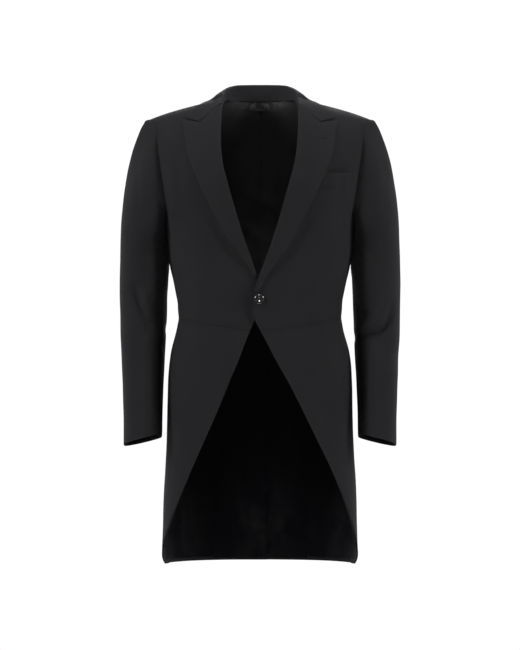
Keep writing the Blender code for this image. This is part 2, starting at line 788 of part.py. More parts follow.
def collar(surface):
    half = [collar_mid(u) for u in COLLAR_SHARES]
    mirror = np.array([-1, 1, 1])
    rows = [[p * mirror for p in row] for row in half[:0:-1]] + half
    rows = np.array(rows)
    along = np.gradient(rows, axis=0)
    over = np.gradient(rows, axis=1)
    normal = np.cross(over, along)
    normal /= np.linalg.norm(normal, axis=2, keepdims=True)
    return wall("collar", rows + normal * LAPEL / 2, rows - normal * LAPEL / 2, surface)


# Sleeves: from the armhole down to the cuff, by turns from the top round by the front


def armhole_place(turn):
    turn = turn % 360
    middle = (TIP_HEIGHT + ARMPIT) / 2
    reach = (TIP_HEIGHT - ARMPIT) / 2
    height = middle + reach * math.cos(math.radians(turn))
    rear = turn > 180
    return body(armhole_bearing(height, back=rear), height)


def turn_at(height):
    """The turn from the sleeve's top at which its seam with the body is at this height."""
    middle = (TIP_HEIGHT + ARMPIT) / 2
    reach = (TIP_HEIGHT - ARMPIT) / 2
    return math.degrees(math.acos(min(max((height - middle) / reach, -1.0), 1.0)))


def sleeve_section(turn, height):
    """A place on the sleeve's ring at a height, before its folds."""
    outer, inner = sleeve_ring["outer"](height), sleeve_ring["inner"](height)
    angle = math.radians(turn)
    c, s = math.cos(angle), math.sin(angle)
    power = 2 / SLEEVE_SQUARE
    x = (outer + inner) / 2 + (outer - inner) / 2 * math.copysign(abs(c) ** power, c)
    across = -sleeve_ring["half_depth"](height) * math.copysign(abs(s) ** power, s)
    y = sleeve_ring["depth_middle"](height) + across
    near_cuff = ease((-560 - height) / 130)
    fall = -CUFF_SLOPE * (x - inner) * near_cuff
    return np.array([x, y, height - sleeve_ring["tip"](height) * across + fall])


SLEEVE_TOP = SLEEVE[0].height
CUFF = SLEEVE[-1].height


def sleeve_base(turn, v):
    """v runs from 0 at the armhole to 1 at the ring below it, then on to 2 at the cuff."""
    if v >= 1:
        return sleeve_section(turn, lerp(SLEEVE_TOP, CUFF, v - 1))
    start = armhole_place(turn)
    end = sleeve_section(turn, SLEEVE_TOP)
    angle = math.radians(turn)
    top = (1 + math.cos(angle)) / 2
    low = 1 - top
    leave = np.array([lerp(0.35, 1.0, top), -0.10 * math.sin(angle), lerp(-1.0, -0.5, top)])
    leave = leave / np.linalg.norm(leave) * lerp(30, 110, top)
    arrive = np.array([0.0, 0.0, -1.0]) * lerp(32, 330, top)
    h = v
    return (
        start * (2 * h**3 - 3 * h**2 + 1)
        + leave * (h**3 - 2 * h**2 + h)
        + end * (3 * h**2 - 2 * h**3)
        + arrive * (h**3 - h**2)
    )


def sleeve_point(side):
    centre_fold = FOLDS[side]

    def normal_at(turn, v):
        step = 0.004
        round_it = sleeve_base(turn + 1.5, v) - sleeve_base(turn - 1.5, v)
        low, high = (v, v + step) if v < 1 else (v - step, v)
        down = sleeve_base(turn, high) - sleeve_base(turn, low)
        normal = np.cross(round_it, down)
        return normal / np.linalg.norm(normal)

    def point(turn, v):
        place = sleeve_base(turn, v)
        normal = normal_at(turn, max(v, 0.02))
        depth = 0.0
        for fold in centre_fold:
            away = (turn - fold.turn + 180) % 360 - 180
            middle = fold.height + fold.slant * away * 0.9
            depth += fold.depth * bell(place[2] - middle, fold.tall) * bell(away, fold.wide)
        rope = 2.6 * bell(v - 0.07, 0.05) * max(0.0, math.cos(math.radians(turn))) ** 1.5
        return place + normal * (rope - depth), normal

    return point


SLEEVE_ROWS = [*CAP_ROWS, 1.0, *(1 + even(15)[1:])]


def tube_grid(point, turns, rows):
    return [[point(turn, v) for turn in turns] for v in rows[::-1]]


# Small pieces


ButtonPoint = namedtuple("ButtonPoint", "inset height")
BUTTON_PROFILE = (
    ButtonPoint(FRONT_BUTTON / 2, 2.4),
    ButtonPoint(3.4, 2.5),
    ButtonPoint(2.4, 3.1),
    ButtonPoint(1.4, 3.5),
    ButtonPoint(0.5, 3.0),
    ButtonPoint(0.0, 2.0),
    ButtonPoint(0.5, 0.9),
    ButtonPoint(2.2, 0.0),
    ButtonPoint(FRONT_BUTTON / 2, 0.0),
)


def front_button(surface):
    """Turned round its own axis, with a raised rim, and set on the left forepart."""
    across = -1.5
    bearing = math.copysign(bearing_at(across, FRONT_BUTTON_HEIGHT), across)
    stand_off = lap(1, bearing, FRONT_BUTTON_HEIGHT) + 0.6
    place, normal = on_body(bearing, FRONT_BUTTON_HEIGHT, stand_off)
    cage = bmesh.new()
    verts = [cage.verts.new(Vector((FRONT_BUTTON / 2 - p.inset, 0, p.height)) * MM) for p in BUTTON_PROFILE]
    for a, b in zip(verts, verts[1:]):
        cage.edges.new((a, b))
    thing = add_object("front_button", cage, surface)
    turn = thing.modifiers.new("Turn", "SCREW")
    turn.steps = turn.render_steps = 20
    turn.use_merge_vertices = True
    turn.merge_threshold = 0.00001
    thing.location = Vector(place) * MM
    thing.rotation_euler = Vector((0, 0, 1)).rotation_difference(Vector(normal)).to_euler()
    return thing


WeltCorner = namedtuple("WeltCorner", "across height")
WELT_TOP = (WeltCorner(131.5, -157.0), WeltCorner(184.0, -153.5))
WELT_FOOT = (WeltCorner(120.5, -190.0), WeltCorner(173.0, -186.0))


def chest_welt(surface):
    def point(s, t):
        top, foot = np.array(lerp(*map(np.array, WELT_TOP), s)), np.array(lerp(*map(np.array, WELT_FOOT), s))
        x, height = lerp(foot, top, t)
        return on_body(bearing_at(x, height), height, lap(1, bearing_at(x, height), height))

    return sheet("chest_welt", 1, grid(point, even(7), even(3)), surface, SEAM + 0.3 + CLOTH, CLOTH)


def hanger_loop(surface):
    """A short loop of lining inside the neck, sewn at both ends and bowed away from the back."""
    half_length, tall, bow, height = 15.0, 5.0, 3.0, -12.0

    def point(s, t):
        x = (2 * s - 1) * half_length
        sag = 4 * s * (1 - s)
        ground, normal = on_body(bearing_at(x, height, back=True), height)
        place = ground - normal * (BEHIND + LINING + 4.6 + bow * sag)
        return np.array([x, place[1], height + (t - 0.5) * tall - 2.0 * sag]), normal

    return sheet("hanger_loop", 1, grid(point, even(10), even(1)), surface)


def share_along(point, t, distance):
    """The share across a row at which it has run this far from its start."""
    shares = np.linspace(0, 1, 25)
    places = np.array([point(s, t)[0] for s in shares])
    run = np.concatenate([[0], np.cumsum(np.linalg.norm(np.diff(places, axis=0), axis=1))])
    return float(np.interp(distance, run, shares))


def build():
    for thing in list(bpy.data.objects):
        bpy.data.objects.remove(thing)
    wool = material("black_wool", (0.022, 0.023, 0.027), 0.88)
    satin = material("black_satin_lining", (0.006, 0.006, 0.009), 0.42)
    horn = material("black_button", (0.012, 0.012, 0.012), 0.22)
    half = SEAM / 2
    up_front = np.linspace(0, 1, len(FRONT_ROWS))
    up_back = np.linspace(0, 1, len(BACK_ROWS))
    waist = waist_seam(back_edge(WAIST_SIDE))
    up_skirt = [0, 0.03, 0.065, *((height - HEM) / (waist - HEM) for height in TAIL_ROWS[1:]), 1]
    for side, word in ((1, "left"), (-1, "right")):
        points = grid(forepart(side), even(11), up_front)
        panel("forepart_" + word, side, trimmed(points, low_row=half, high_row=half, high_column=half), wool)

        point = skirt(side)
        points = grid(point, even(14), up_skirt)
        panel("skirt_" + word, side, trimmed(points, high_row=half, high_column=half), wool)
        facing, cover = [], []
        for t in up_skirt:
            stop = share_along(point, t, FACING_WIDTH)
            facing.append([point(s, t) for s in np.linspace(share_along(point, t, 0.6), stop, 3)])
            start = share_along(point, t, FACING_WIDTH + 2 * half)
            cover.append([point(s, t) for s in np.linspace(start, 1, 13)])
        facing = trimmed(facing, low_row=0.6, high_row=half)
        sheet("skirt_facing_" + word, side, facing, wool, -BEHIND, 1.2)
        cover = trimmed(cover[1:], high_row=half, high_column=half)
        sheet("skirt_lining_" + word, side, cover, satin, -BEHIND)

        points = grid(back(side), even(9), up_back)
        centre = 0.0 if VENT_LAP else half
        points = trimmed(points, high_row=half, high_column=half, low_column=centre)
        for row, height in zip(points, BACK_ROWS):
            if height > VENT_TOP + 22:
                p, n = row[0]
                row[0] = (p + np.array([half, 0, 0]), n)
        panel("back_" + word, side, points, wool)
        cover = grid(back(side, LINING_PAST[side]), even(7), up_back[1:])
        cover[0] = [(p + np.array([0, 0, HEM + HEM_SHOWS - p[2]]), n) for p, n in cover[0]]
        cover = trimmed(cover, high_row=9.0, high_column=half)
        for row, height in zip(cover, BACK_ROWS[1:]):
            if height > VENT_TOP + 22:
                p, n = row[0]
                row[0] = (p + np.array([half, 0, 0]), n)
        sheet("back_lining_" + word, side, cover, satin, -BEHIND - 0.5)

        points = grid(side_body(), even(5), np.linspace(0, 1, len(SIDE_ROWS)))
        panel("side_body_" + word, side, trimmed(points, half, half, half, half), wool)

        lapel(side, "lapel_" + word, wool)

        point = sleeve_point(side)
        heights = [TIP_HEIGHT, *ARMHOLE_HEIGHTS, ARMPIT]
        turns = [turn_at(h) for h in heights]
        rear, front = turn_at(HINDSEAM_HEIGHT), turn_at(FORESEAM_HEIGHT)
        upper = [-t for t in turns[:0:-1] if t <= rear] + [t for t in turns if t <= front]
        under = [t for t in turns if t >= front] + [360 - t for t in turns[-2::-1] if t >= rear]
        turns = upper
        points = trimmed(tube_grid(point, turns, SLEEVE_ROWS), 0, 2 * half, 1.4 * half, 1.4 * half)
        panel("top_sleeve_" + word, side, points, wool)
        points = trimmed(tube_grid(point, under, SLEEVE_ROWS), 0, 2 * half, 1.4 * half, 1.4 * half)
        panel("under_sleeve_" + word, side, points, wool)
        rows = [1.93, 1.955, 1.985]
        points = tube_grid(point, np.linspace(0, 360, 25), rows)
        sheet("cuff_lining_" + word, side, points, satin, -BEHIND)
    collar(wool)
    front_button(horn)
    chest_welt(wool)
    hanger_loop(satin)


build()
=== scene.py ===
"""Dresses the packed morning coat in wool and satin, with folds, seams and sewing, and sets up its studio.

Sizes are in metres unless a note says millimetres. The frame is the packed part's own: the origin is the
middle of the neck opening, +X is the wearer's left, +Y the wearer's back and +Z up.
"""

import math
from collections import namedtuple

import bpy
import numpy as np
from bpy.props import FloatProperty, FloatVectorProperty, IntProperty, PointerProperty
from mathutils import Matrix, Vector
from mathutils.bvhtree import BVHTree
from mathutils.kdtree import KDTree


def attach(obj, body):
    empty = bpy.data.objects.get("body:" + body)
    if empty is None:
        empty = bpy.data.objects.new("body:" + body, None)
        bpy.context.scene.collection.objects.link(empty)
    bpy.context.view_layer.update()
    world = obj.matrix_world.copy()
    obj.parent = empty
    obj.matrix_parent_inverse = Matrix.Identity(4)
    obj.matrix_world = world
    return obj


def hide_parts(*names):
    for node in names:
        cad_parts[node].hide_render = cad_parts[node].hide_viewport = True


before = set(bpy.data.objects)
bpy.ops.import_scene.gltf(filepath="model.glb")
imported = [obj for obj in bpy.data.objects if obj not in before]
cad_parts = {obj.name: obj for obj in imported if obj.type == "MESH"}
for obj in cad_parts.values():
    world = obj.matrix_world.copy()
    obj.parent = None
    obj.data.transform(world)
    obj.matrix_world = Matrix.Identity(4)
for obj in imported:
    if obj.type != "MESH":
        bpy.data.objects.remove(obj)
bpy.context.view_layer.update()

bl_info = {
    "name": "Morning Coat",
    "version": (1, 0, 0),
    "blender": (4, 5, 0),
    "location": "3D View > Sidebar > Coat",
    "description": "Dresses a cut and sewn morning coat in wool and satin",
    "category": "Object",
}

MM = 0.001
MERGE = 0.00002  # a CAD mesh's loose triangles are joined within this
SHARP = 64.0  # degrees across an edge from which it is a cut edge of the cloth
SEAM_GAP = 0.0013  # pieces this close are sewn together
LINING_GAP = 0.0034  # the same for the lining, which is cut a little shorter
CROSS_GAP = 0.0034  # where three pieces come this close, their seams cross
CROSS_REACH = 0.012  # such places closer together than this are one crossing
SEAM_CLOSE = 0.62  # how much of the gap at a seam each side closes, so that the two edges meet

# The flat cut of each piece: its width and length on the table, and its area
Cut = namedtuple("Cut", "width length area")

WOOL_PANELS = ("forepart", "side_body", "back", "skirt")
SLEEVES = ("top_sleeve", "under_sleeve")
UNPRESSED = ("lapel", "collar", "chest_welt")  # wool pieces with no seam pressed into their face
SIDES = ("left", "right")

# A listed crease, in millimetres. Its path is seen from the front, the back or a side: x, or y from a
# side, and then z. Wide is the trough's half width, and depth is how far it sinks, or rises if it is below 0.
Crease = namedtuple("Crease", "where path wide depth")


def placed(where, *rows):
    """Creases in one view, or on one arm. Each row is the places on its path, then its width and depth."""
    return tuple(Crease(where, tuple(path), wide, depth) for *path, wide, depth in rows)


BODY_CREASES = (
    *placed(
        "front",
        # pulls that run from the fastened button
        ((16, -404), (44, -392), (86, -366), 8, 0.9),
        ((14, -398), (38, -374), (62, -340), 9, 0.7),
        ((-20, -405), (-52, -396), (-98, -380), 9, 0.9),
        ((-18, -414), (-48, -430), (-84, -440), 8, 0.7),
        ((14, -416), (40, -432), (70, -436), 7, 0.6),
        # the foreparts dip beside the lapels' rolled edges
        ((22, -372), (64, -306), (112, -218), 9, 2.4),
        ((-30, -352), (-68, -298), (-114, -214), 9, 2.4),
        ((-19, -392), (-24, -428), (-14, -462), 7, 1.6),
        # the chest pocket's welt is drawn in above and below, and the lapel over it is creased
        ((128, -151), (152, -150), (178, -150), 3, 1.3),
        ((116, -187), (138, -187.5), (164, -185), 3, 1.2),
        ((104, -126), (118, -125), (134, -127), 4, 0.6),
        # loose cloth in front of the armholes
        ((158, -128), (163, -190), (153, -262), 9, 1.6),
        ((144, -180), (150, -250), (138, -320), 14, 1.0),
        ((-156, -120), (-163, -176), (-155, -246), 9, 1.8),
        ((-140, -190), (-148, -262), (-134, -340), 15, 1.1),
        # the waist, where the body is drawn in at the sides
        ((96, -424), (130, -418), (164, -430), 8, 1.1),
        ((110, -398), (142, -388), (168, -392), 9, 0.8),
        ((-92, -430), (-126, -424), (-162, -436), 9, 1.2),
        ((-118, -404), (-146, -398), (-168, -404), 8, 0.7),
    ),
    # the sides press out against the sleeves
    *(Crease(side, ((4, -196), (6, -280), (6, -362)), 28, -2.4) for side in SIDES),
    *(Crease(side, ((-70, -246), (4, -249), (74, -246)), 11, -2.6) for side in SIDES),
    *placed(
        "front",
        # long soft waves down the skirts
        ((118, -500), (126, -610), (132, -760), 20, 1.6),
        ((150, -520), (158, -660), (166, -860), 16, -1.3),
        ((82, -520), (92, -600), (110, -720), 16, 0.9),
        ((-112, -496), (-122, -600), (-130, -730), 22, 1.8),
        ((-150, -510), (-160, -650), (-168, -850), 16, -1.4),
        ((-74, -530), (-86, -600), (-104, -700), 15, 0.8),
    ),
    *placed(
        "left",
        # the sides, under the sleeves
        ((-20, -400), (10, -412), (44, -404), 9, 1.2),
        ((-34, -436), (0, -442), (36, -430), 7, 1.0),
        ((20, -500), (26, -640), (20, -800), 18, 1.8),
        ((-30, -540), (-34, -660), (-30, -800), 16, -1.2),
    ),
    *placed(
        "right",
        ((-24, -404), (6, -416), (40, -408), 9, 1.1),
        ((-30, -438), (4, -444), (40, -434), 7, 1.0),
        ((16, -510), (22, -650), (18, -820), 18, 1.9),
        ((-34, -530), (-38, -650), (-34, -780), 16, -1.2),
    ),
    *placed(
        "back",
        # the back: loose cloth by the armholes, the drawn-in waist and the tails
        ((150, -130), (156, -200), (140, -270), 12, 2.0),
        ((124, -160), (128, -230), (112, -300), 15, 1.2),
        ((-148, -126), (-156, -190), (-144, -262), 12, 2.1),
        ((-120, -170), (-128, -240), (-110, -316), 15, 1.1),
        ((-60, -396), (-10, -404), (46, -394), 9, 1.4),
        ((-84, -424), (-30, -432), (20, -426), 8, 1.0),
        ((10, -368), (50, -372), (88, -362), 10, 0.9),
        ((-70, -34), (0, -42), (66, -36), 10, 0.8),
        ((34, -540), (40, -700), (46, -880), 14, 1.8),
        ((72, -500), (84, -640), (92, -840), 18, -1.6),
        ((116, -520), (128, -680), (134, -880), 18, 1.8),
        ((-40, -520), (-48, -690), (-50, -880), 15, 1.7),
        ((-80, -510), (-90, -660), (-98, -860), 18, -1.7),
        ((-120, -530), (-132, -690), (-138, -870), 18, 1.9),
    ),
)

# Painted shade: dark lines along the chest pocket welt's edges, where it is sewn in; each row's depth is how
# dark they are.
WELT_SHADE_LINES = placed(
    "front",
    ((128, -152), (152, -150.5), (178, -150), 2.4, 0.55),
    ((116, -186), (138, -185), (158, -184), 2.4, 0.5),
)

# Creases on the sleeves, 1 for the left arm and -1 for the right. Instead of x, their paths have the turn in
# degrees round the sleeve from its front, outwards: 90 is the outside.
SLEEVE_CREASES = (
    # both arms press against the body below the armhole
    *(Crease(side, ((-98, -204), (-100, -284), (-98, -362)), 28, -3.0) for side in (1, -1)),
    # the wearer's left arm: the pressed-in fold inside the elbow, then its shorter neighbours
    *placed(
        1,
        ((-120, -486), (-86, -484), (-52, -480), 9, 2.6),
        ((-84, -520), (-48, -508), (-14, -504), 9, 1.6),
        ((120, -440), (150, -470), (176, -480), 11, 1.5),
        ((30, -110), (22, -180), (14, -262), 11, 1.1),
        ((76, -90), (82, -150), (80, -230), 13, 0.8),
        ((150, -150), (140, -230), (146, -310), 12, 1.5),
        ((10, -560), (24, -610), (20, -660), 10, 0.8),
        ((130, -540), (118, -600), (126, -656), 12, 1.2),
    ),
    # the wearer's right arm
    *placed(
        -1,
        ((-116, -470), (-84, -466), (-50, -460), 9, 2.4),
        ((-80, -512), (-44, -500), (-10, -492), 9, 1.5),
        ((116, -430), (146, -458), (178, -466), 11, 1.5),
        ((26, -120), (14, -190), (8, -290), 11, 1.3),
        ((70, -96), (78, -160), (74, -250), 13, 0.8),
        ((154, -140), (146, -220), (150, -300), 12, 1.4),
        ((6, -570), (16, -620), (14, -664), 10, 0.9),
        ((134, -530), (124, -590), (130, -650), 12, 1.1),
    ),
)

# The lapels roll off the foreparts towards their edges
LAPEL_ROLLS = placed(
    "front",
    ((14, -372), (58, -300), (104, -212), (138, -134), (153, -70), 15, -4.2),
    ((-18, -358), (-60, -294), (-106, -208), (-138, -134), (-153, -70), 15, -4.2),
)

# The sleeves' folds that show from the front, in millimetres across and up
SLEEVE_FRONT_FOLDS = placed(
    "front",
    # the wearer's left arm: a deep fold that hooks up from the inside of the elbow, with a roll above it
    ((198, -484), (228, -481), (248, -468), (262, -446), (266, -408), 7, 10.5),
    ((194, -470), (222, -458), (244, -430), 10, -6.0),
    ((190, -410), (204, -428), (222, -446), 6, 6.0),
    # the wearer's right arm: one long soft fold
    ((-255, -372), (-243, -420), (-218, -470), 8, 7.0),
    ((-236, -388), (-228, -424), (-218, -452), 10, -4.0),
    # both upper arms lie flat to the front and turn in sharply beside the body
    ((204, -120), (206, -260), (212, -440), 14, -7.0),
    ((190, -120), (192, -260), (197, -440), 7, 3.0),
    ((-208, -120), (-209, -260), (-212, -440), 14, -7.0),
    ((-194, -120), (-195, -260), (-198, -440), 7, 3.0),
    # so do both forearms
    ((229, -490), (228, -600), (227, -760), 10, -3.5),
    ((211, -486), (209, -600), (208, -760), 11, 9.0),
    ((-231, -480), (-230, -600), (-229, -760), 10, -3.0),
    ((-213, -480), (-212, -600), (-211, -760), 11, 6.5),
)

# Creases of the satin alone, which lies looser than the wool: they stand into the coat
LINING_CREASES = (
    *placed(
        "back",
        ((-50, -110), (-10, -150), (40, -160), 9, 1.9),
        ((-30, -190), (14, -206), (56, -236), 10, 2.2),
        ((48, -120), (30, -180), (36, -250), 9, 1.7),
        ((-44, -230), (-14, -270), (20, -290), 10, 1.9),
        ((-20, -60), (26, -72), (60, -96), 9, 1.4),
        ((-8, -300), (16, -350), (10, -400), 9, 1.6),
        ((-18, -700), (-26, -800), (-20, -930), 9, 2.0),
        ((6, -730), (12, -820), (10, -930), 7, 2.2),
        ((34, -690), (44, -800), (48, -930), 12, 1.7),
        ((-60, -640), (-72, -780), (-76, -930), 14, 1.7),
        ((84, -600), (98, -760), (104, -930), 15, 1.5),
        ((-104, -620), (-118, -770), (-122, -930), 14, 1.6),
        ((-30, -520), (-10, -560), (30, -580), 12, 1.4),
    ),
    *placed(
        "left",
        ((30, -700), (38, -800), (36, -920), 11, 1.6),
    ),
    *placed(
        "right",
        ((26, -720), (34, -820), (30, -920), 11, 1.7),
    ),
)

# Below the vent's top each back lining is let out from its CAD edge to the tail's edge, in millimetres across
Vent = namedtuple("Vent", "edge to")
VENT_LININGS = {"back_lining_left": Vent(14.9, 12.2), "back_lining_right": Vent(10.9, 13.6)}
VENT_TOP = -486.0

# The buttonhole worked in the left lapel, seen from the front, in millimetres
LAPEL_HOLE = ((111.5, -79.5), (137.5, -84.0))
FRONT_HOLE_REACH = 15.5  # how far the fastened buttonhole runs past the button's middle, in millimetres
FRONT_BUTTON = "front_button"

# The button from the middle of its dished face outwards, round its rim and under, in millimetres: the height
# is measured towards the viewer from the middle of its thickness
Ring = namedtuple("Ring", "radius height")
BUTTON_RINGS = (
    Ring(0.7, 0.60), Ring(1.5, 0.66), Ring(2.2, 0.86), Ring(3.0, 1.19), Ring(3.8, 1.58), Ring(4.5, 1.90),
    Ring(5.2, 2.12), Ring(6.0, 2.25), Ring(7.2, 2.30), Ring(8.5, 2.26), Ring(8.9, 2.10), Ring(9.25, 1.70),
    Ring(9.55, 1.05), Ring(9.8, 0.20), Ring(9.9, -0.60), Ring(9.6, -1.30), Ring(8.6, -1.75), Ring(6.0, -1.90),
    Ring(1.0, -1.90),
)
BUTTON_HOLE_OUT = 2.0  # from the button's middle to each of its four thread holes, in millimetres

ROUND_A_SLEEVE = 1.15  # millimetres round a sleeve for each degree
BODY_HALF = (0.19, 0.115, np.inf)  # half the width and depth of the body, whose height has no end
ROUND_BODY = (0.185, 0.112, 2.4)  # the same for the line round it that cloth is laid along, and its squareness

# Heights, from the neck, where the cloth starts to change
STAND_MIDDLE = -0.014  # above this the back lining is drawn up under the collar stand
STAND_FOOT = -0.024  # and above this it is drawn in
SHOULDER = -0.03  # the creases begin
NECKLINE = -0.055  # the painted shade line along the armhole seams begins
SLEEVE_HEAD = -0.075  # the armhole seams dip and the sleeves' creases begin
UNDER_ARM = -0.205  # and the seams dip no more
ELBOW = -0.43
VENT_START = -0.410
VENT_SEWN = -0.474
CUFF = -0.65
HEM = -0.86

# Heights, from the neck, over which the satin's painted shade, sheen and light come in, from none to full
SATIN_SHADE_LOW = (-0.36, -0.46)
SATIN_SHEEN_CLOUDS = (-0.76, -0.87)
SATIN_LIT_HIGH = (-0.25, -0.12)
SATIN_NECK_LIT = (-0.034, -0.002)
SATIN_NECK_HIGHLIGHTS = (-0.018, -0.007)

ARMHOLE_SHADE_LINE = 0.0022  # how far from an armhole seam the painted shade line reaches
ARMHOLE_REACH = 0.006  # how far from an armhole seam the cloth dips
RUB_AND_SHEEN_REACH = 0.0035  # how far from a free edge the cloth is lightened, as wear and painted sheen
WELT_SINK = 0.0011  # how far the chest welt is pressed into the cloth
WELT_END = 0.142  # how far out the welt's inner end is
WELT_MOVE = 0.0025  # how far that end is moved under the lapel's edge
NECK_DRAWN_IN = 0.005  # how far the back lining is drawn in under the collar stand
NECK_DRAWN_UP = 0.0045  # and how far up
STAY_LONG = 0.0018  # half the length of the stay stitches where seams cross
ARMHOLE_TUCK = 0.0028  # how far the cloth dips at the armhole seams
LINING_DROP = 0.0075  # how far the lining hangs down past its CAD edge at the hem
VENT_LAP = 0.0022  # how far the left back laps over the right above the vent
CUFF_DROP = 0.0034  # how much lower the back of a cuff hangs

# Edges that are pick stitched, seen from the front, in millimetres, and the piece the stitches are sewn into
Edge = namedtuple("Edge", "piece inwards path")
STITCHED_EDGES = (
    Edge("lapel_left_wool", (-1, 0.25), (
        (13, -364), (30, -338), (55, -303), (77, -264), (101.5, -216), (121, -174), (138, -134), (148, -94),
        (154, -58))),
    Edge("lapel_right_wool", (1, 0.25), (
        (-22, -344), (-38, -323), (-59, -293), (-80, -258), (-103.5, -212), (-121.5, -173), (-138, -134),
        (-148, -94), (-154, -56))),
    Edge("forepart_left_wool", (1, 0.1), ((-12, -396), (-14, -408), (-15, -428), (-11, -449), (-3, -466))),
    Edge("skirt_left_wool", (1, 0.35), (
        (7.5, -484), (30, -526), (56, -572), (82, -622), (111, -680), (136.5, -731), (159, -782),
        (174.5, -824), (188, -862))),
    Edge("skirt_right_wool", (-1, 0.35), (
        (-25, -484), (-41.5, -526), (-61, -572), (-81.5, -622), (-107.5, -680), (-130.5, -731),
        (-152.5, -782), (-170, -824), (-184.5, -862))),
)

# The chest welt's corners, seen from the front, in millimetres
WELT_CORNERS = ((131.8, -158.6), (122.0, -188.0), (183.2, -155.6), (172.6, -184.6))

# The studio's lights: where each is, what it faces, its size, and its power as a share of the key light's
Light = namedtuple("Light", "name place at wide tall share")
LIGHTS = (
    Light("key_left", (-3.5, -1.75, 1.3), (0, 0, -0.45), 1.0, 2.4, 1.9),
    Light("key_right", (3.5, -1.7, 1.2), (0, 0, -0.5), 1.0, 2.4, 1.78),
    Light("front", (-0.4, -3.9, 3.0), (0, 0, -0.4), 1.9, 0.65, 0.58),
    Light("top", (0, 0.2, 2.6), (0, 0, -0.3), 2.6, 2.0, 0.3),
    Light("back", (0.5, 3.9, 2.6), (0, 0, -0.5), 2.4, 1.2, 2.0),
)

CROSSINGS = []  # the middles of the places where seams cross
PIECES = {}  # the merged cut pieces, until each is dressed
RUNS = {}  # the distances from seams, free edges and armholes


def length(name, description, default):
    """A length that a user may change."""
    return FloatProperty(name=name, description=description, default=default, unit="LENGTH")


def colour(name, description, *default):
    """A colour that a user may change."""
    return FloatVectorProperty(
        name=name, description=description, subtype="COLOR", size=3, min=0, max=1, default=default
    )


class ClothSizes(bpy.types.PropertyGroup):
    """Sizes of the cloth's edges, seams and pressed creases."""

    levels: IntProperty(
        name="Smoothness", description="Times that each cut piece is subdivided", default=2, min=1, max=3
    )
    edge_round: length("Edge round", "Radius of a turned cloth edge", 0.00032)
    seam_sink: length("Seam sink", "How far the cloth is pressed down at a seam", 0.0004)
    seam_reach: length("Seam reach", "How far from a seam the cloth is pressed down", 0.0055)
    crease_strength: FloatProperty(
        name="Creases", description="Strength of the creases, 1 as placed by hand", default=1.0, min=0, max=2
    )
    slack: length("Slack", "Height of the soft unevenness all over the cloth", 0.0005)


class CoatColours(bpy.types.PropertyGroup):
    """Colours and finish of the cloth and buttons."""

    wool: colour("Wool", "Colour of the wool", 0.0100, 0.0101, 0.0112)
    wool_worn: colour("Worn wool", "Colour of the wool where it is napped or rubbed", 0.0192, 0.0193, 0.0206)
    satin: colour("Satin", "Colour of the satin lining", 0.0125, 0.0125, 0.0132)
    # painted sheen: this lighter satin colour, laid in soft noise patches, stands for light on the lining's
    # wrinkles
    satin_sheen: colour("Lit satin", "Colour of the satin's floating threads", 0.0250, 0.0250, 0.0265)
    # painted light: this lighter satin colour is laid higher up the back lining
    satin_lit_high: colour("Faded satin", "Colour of the dull satin under the neck", 0.0290, 0.0290, 0.0300)
    # painted light: the lightest satin colour, at the neck; the hanger loop's tape uses it too
    satin_neck_lit: colour("Neck satin", "Colour of the most worn satin, at the neck", 0.0460, 0.0460, 0.0470)
    # painted shade: the near-black satin colour low between the tails
    satin_shaded_low: colour("Low satin", "Colour of the satin between the tails", 0.0030, 0.0030, 0.0045)
    horn: colour("Button", "Colour of the polished button", 0.0045, 0.0042, 0.0042)
    thread: colour("Thread", "Colour of the sewing thread", 0.010, 0.010, 0.011)
    twill_pitch: length("Twill pitch", "Distance between the wool's twill ribs", 0.0011)
    satin_pitch: length("Satin pitch", "Distance between the satin's ribs", 0.0006)


class SewingSizes(bpy.types.PropertyGroup):
    """Sizes of the button and the hand sewing."""

    stitch_long: length("Stitch length", "Length of one pick stitch", 0.0011)
    stitch_step: length("Stitch step", "Distance from one pick stitch to the next", 0.0062)
    stitch_in: length("Stitch inset", "How far the pick stitches lie in from an edge", 0.0042)
    purl: length("Purl", "Radius of a buttonhole's corded edge", 0.0006)


class StudioSizes(bpy.types.PropertyGroup):
    """Sizes of the studio and its lights."""

    camera_away: length("Camera distance", "From the coat's centre plane to the camera", 5.0)
    camera_height: length("Camera height", "Height of the camera from the neck", -0.459)
    view_tall: length("View height", "Height of the view at the coat's centre plane", 1.326)
    floor: length("Floor", "Height of the floor from the neck", -1.5)
    paper: colour("Backdrop", "Colour of the floor and backdrop", 0.86, 0.86, 0.87)
    key_light: FloatProperty(
        name="Key light", description="Power of the large front light", default=75.0, min=0, unit="POWER"
    )


def sizes(name):
    return getattr(bpy.context.scene, name)


def only(thing):
    """Leaves one object selected and active."""
    if bpy.context.mode != "OBJECT":
        bpy.ops.object.mode_set(mode="OBJECT")
    bpy.ops.object.select_all(action="DESELECT")
    thing.select_set(True)
    bpy.context.view_layer.objects.active = thing


def places(mesh):
    """The mesh's points as rows of x, y and z."""
    co = np.empty(len(mesh.vertices) * 3)
    mesh.vertices.foreach_get("co", co)
    return co.reshape(-1, 3)


def put(mesh, co):
    mesh.vertices.foreach_set("co", np.ascontiguousarray(co).ravel())
    mesh.update()


def ease(x):
    x = np.clip(x, 0, 1)
    return x * x * (3 - 2 * x)


def below(co, height, over):
    """0 down to a height, rising to 1 over a length below it."""
    return ease((height - co[:, 2]) / over)


def above(co, height, over):
    """0 up to a height, rising to 1 over a length above it."""
    return ease((co[:, 2] - height) / over)


def close_to(distance, reach):
    """1 at a place, falling to 0 well past a reach."""
    return np.exp(-((distance / reach) ** 2))


def unit(rows):
    return rows / np.maximum(np.linalg.norm(rows, axis=1), 1e-9)[:, None]


def run_along(line):
    """How far along a line each of its points is."""
    return np.concatenate([[0], np.cumsum(np.linalg.norm(np.diff(line, axis=0), axis=1))])


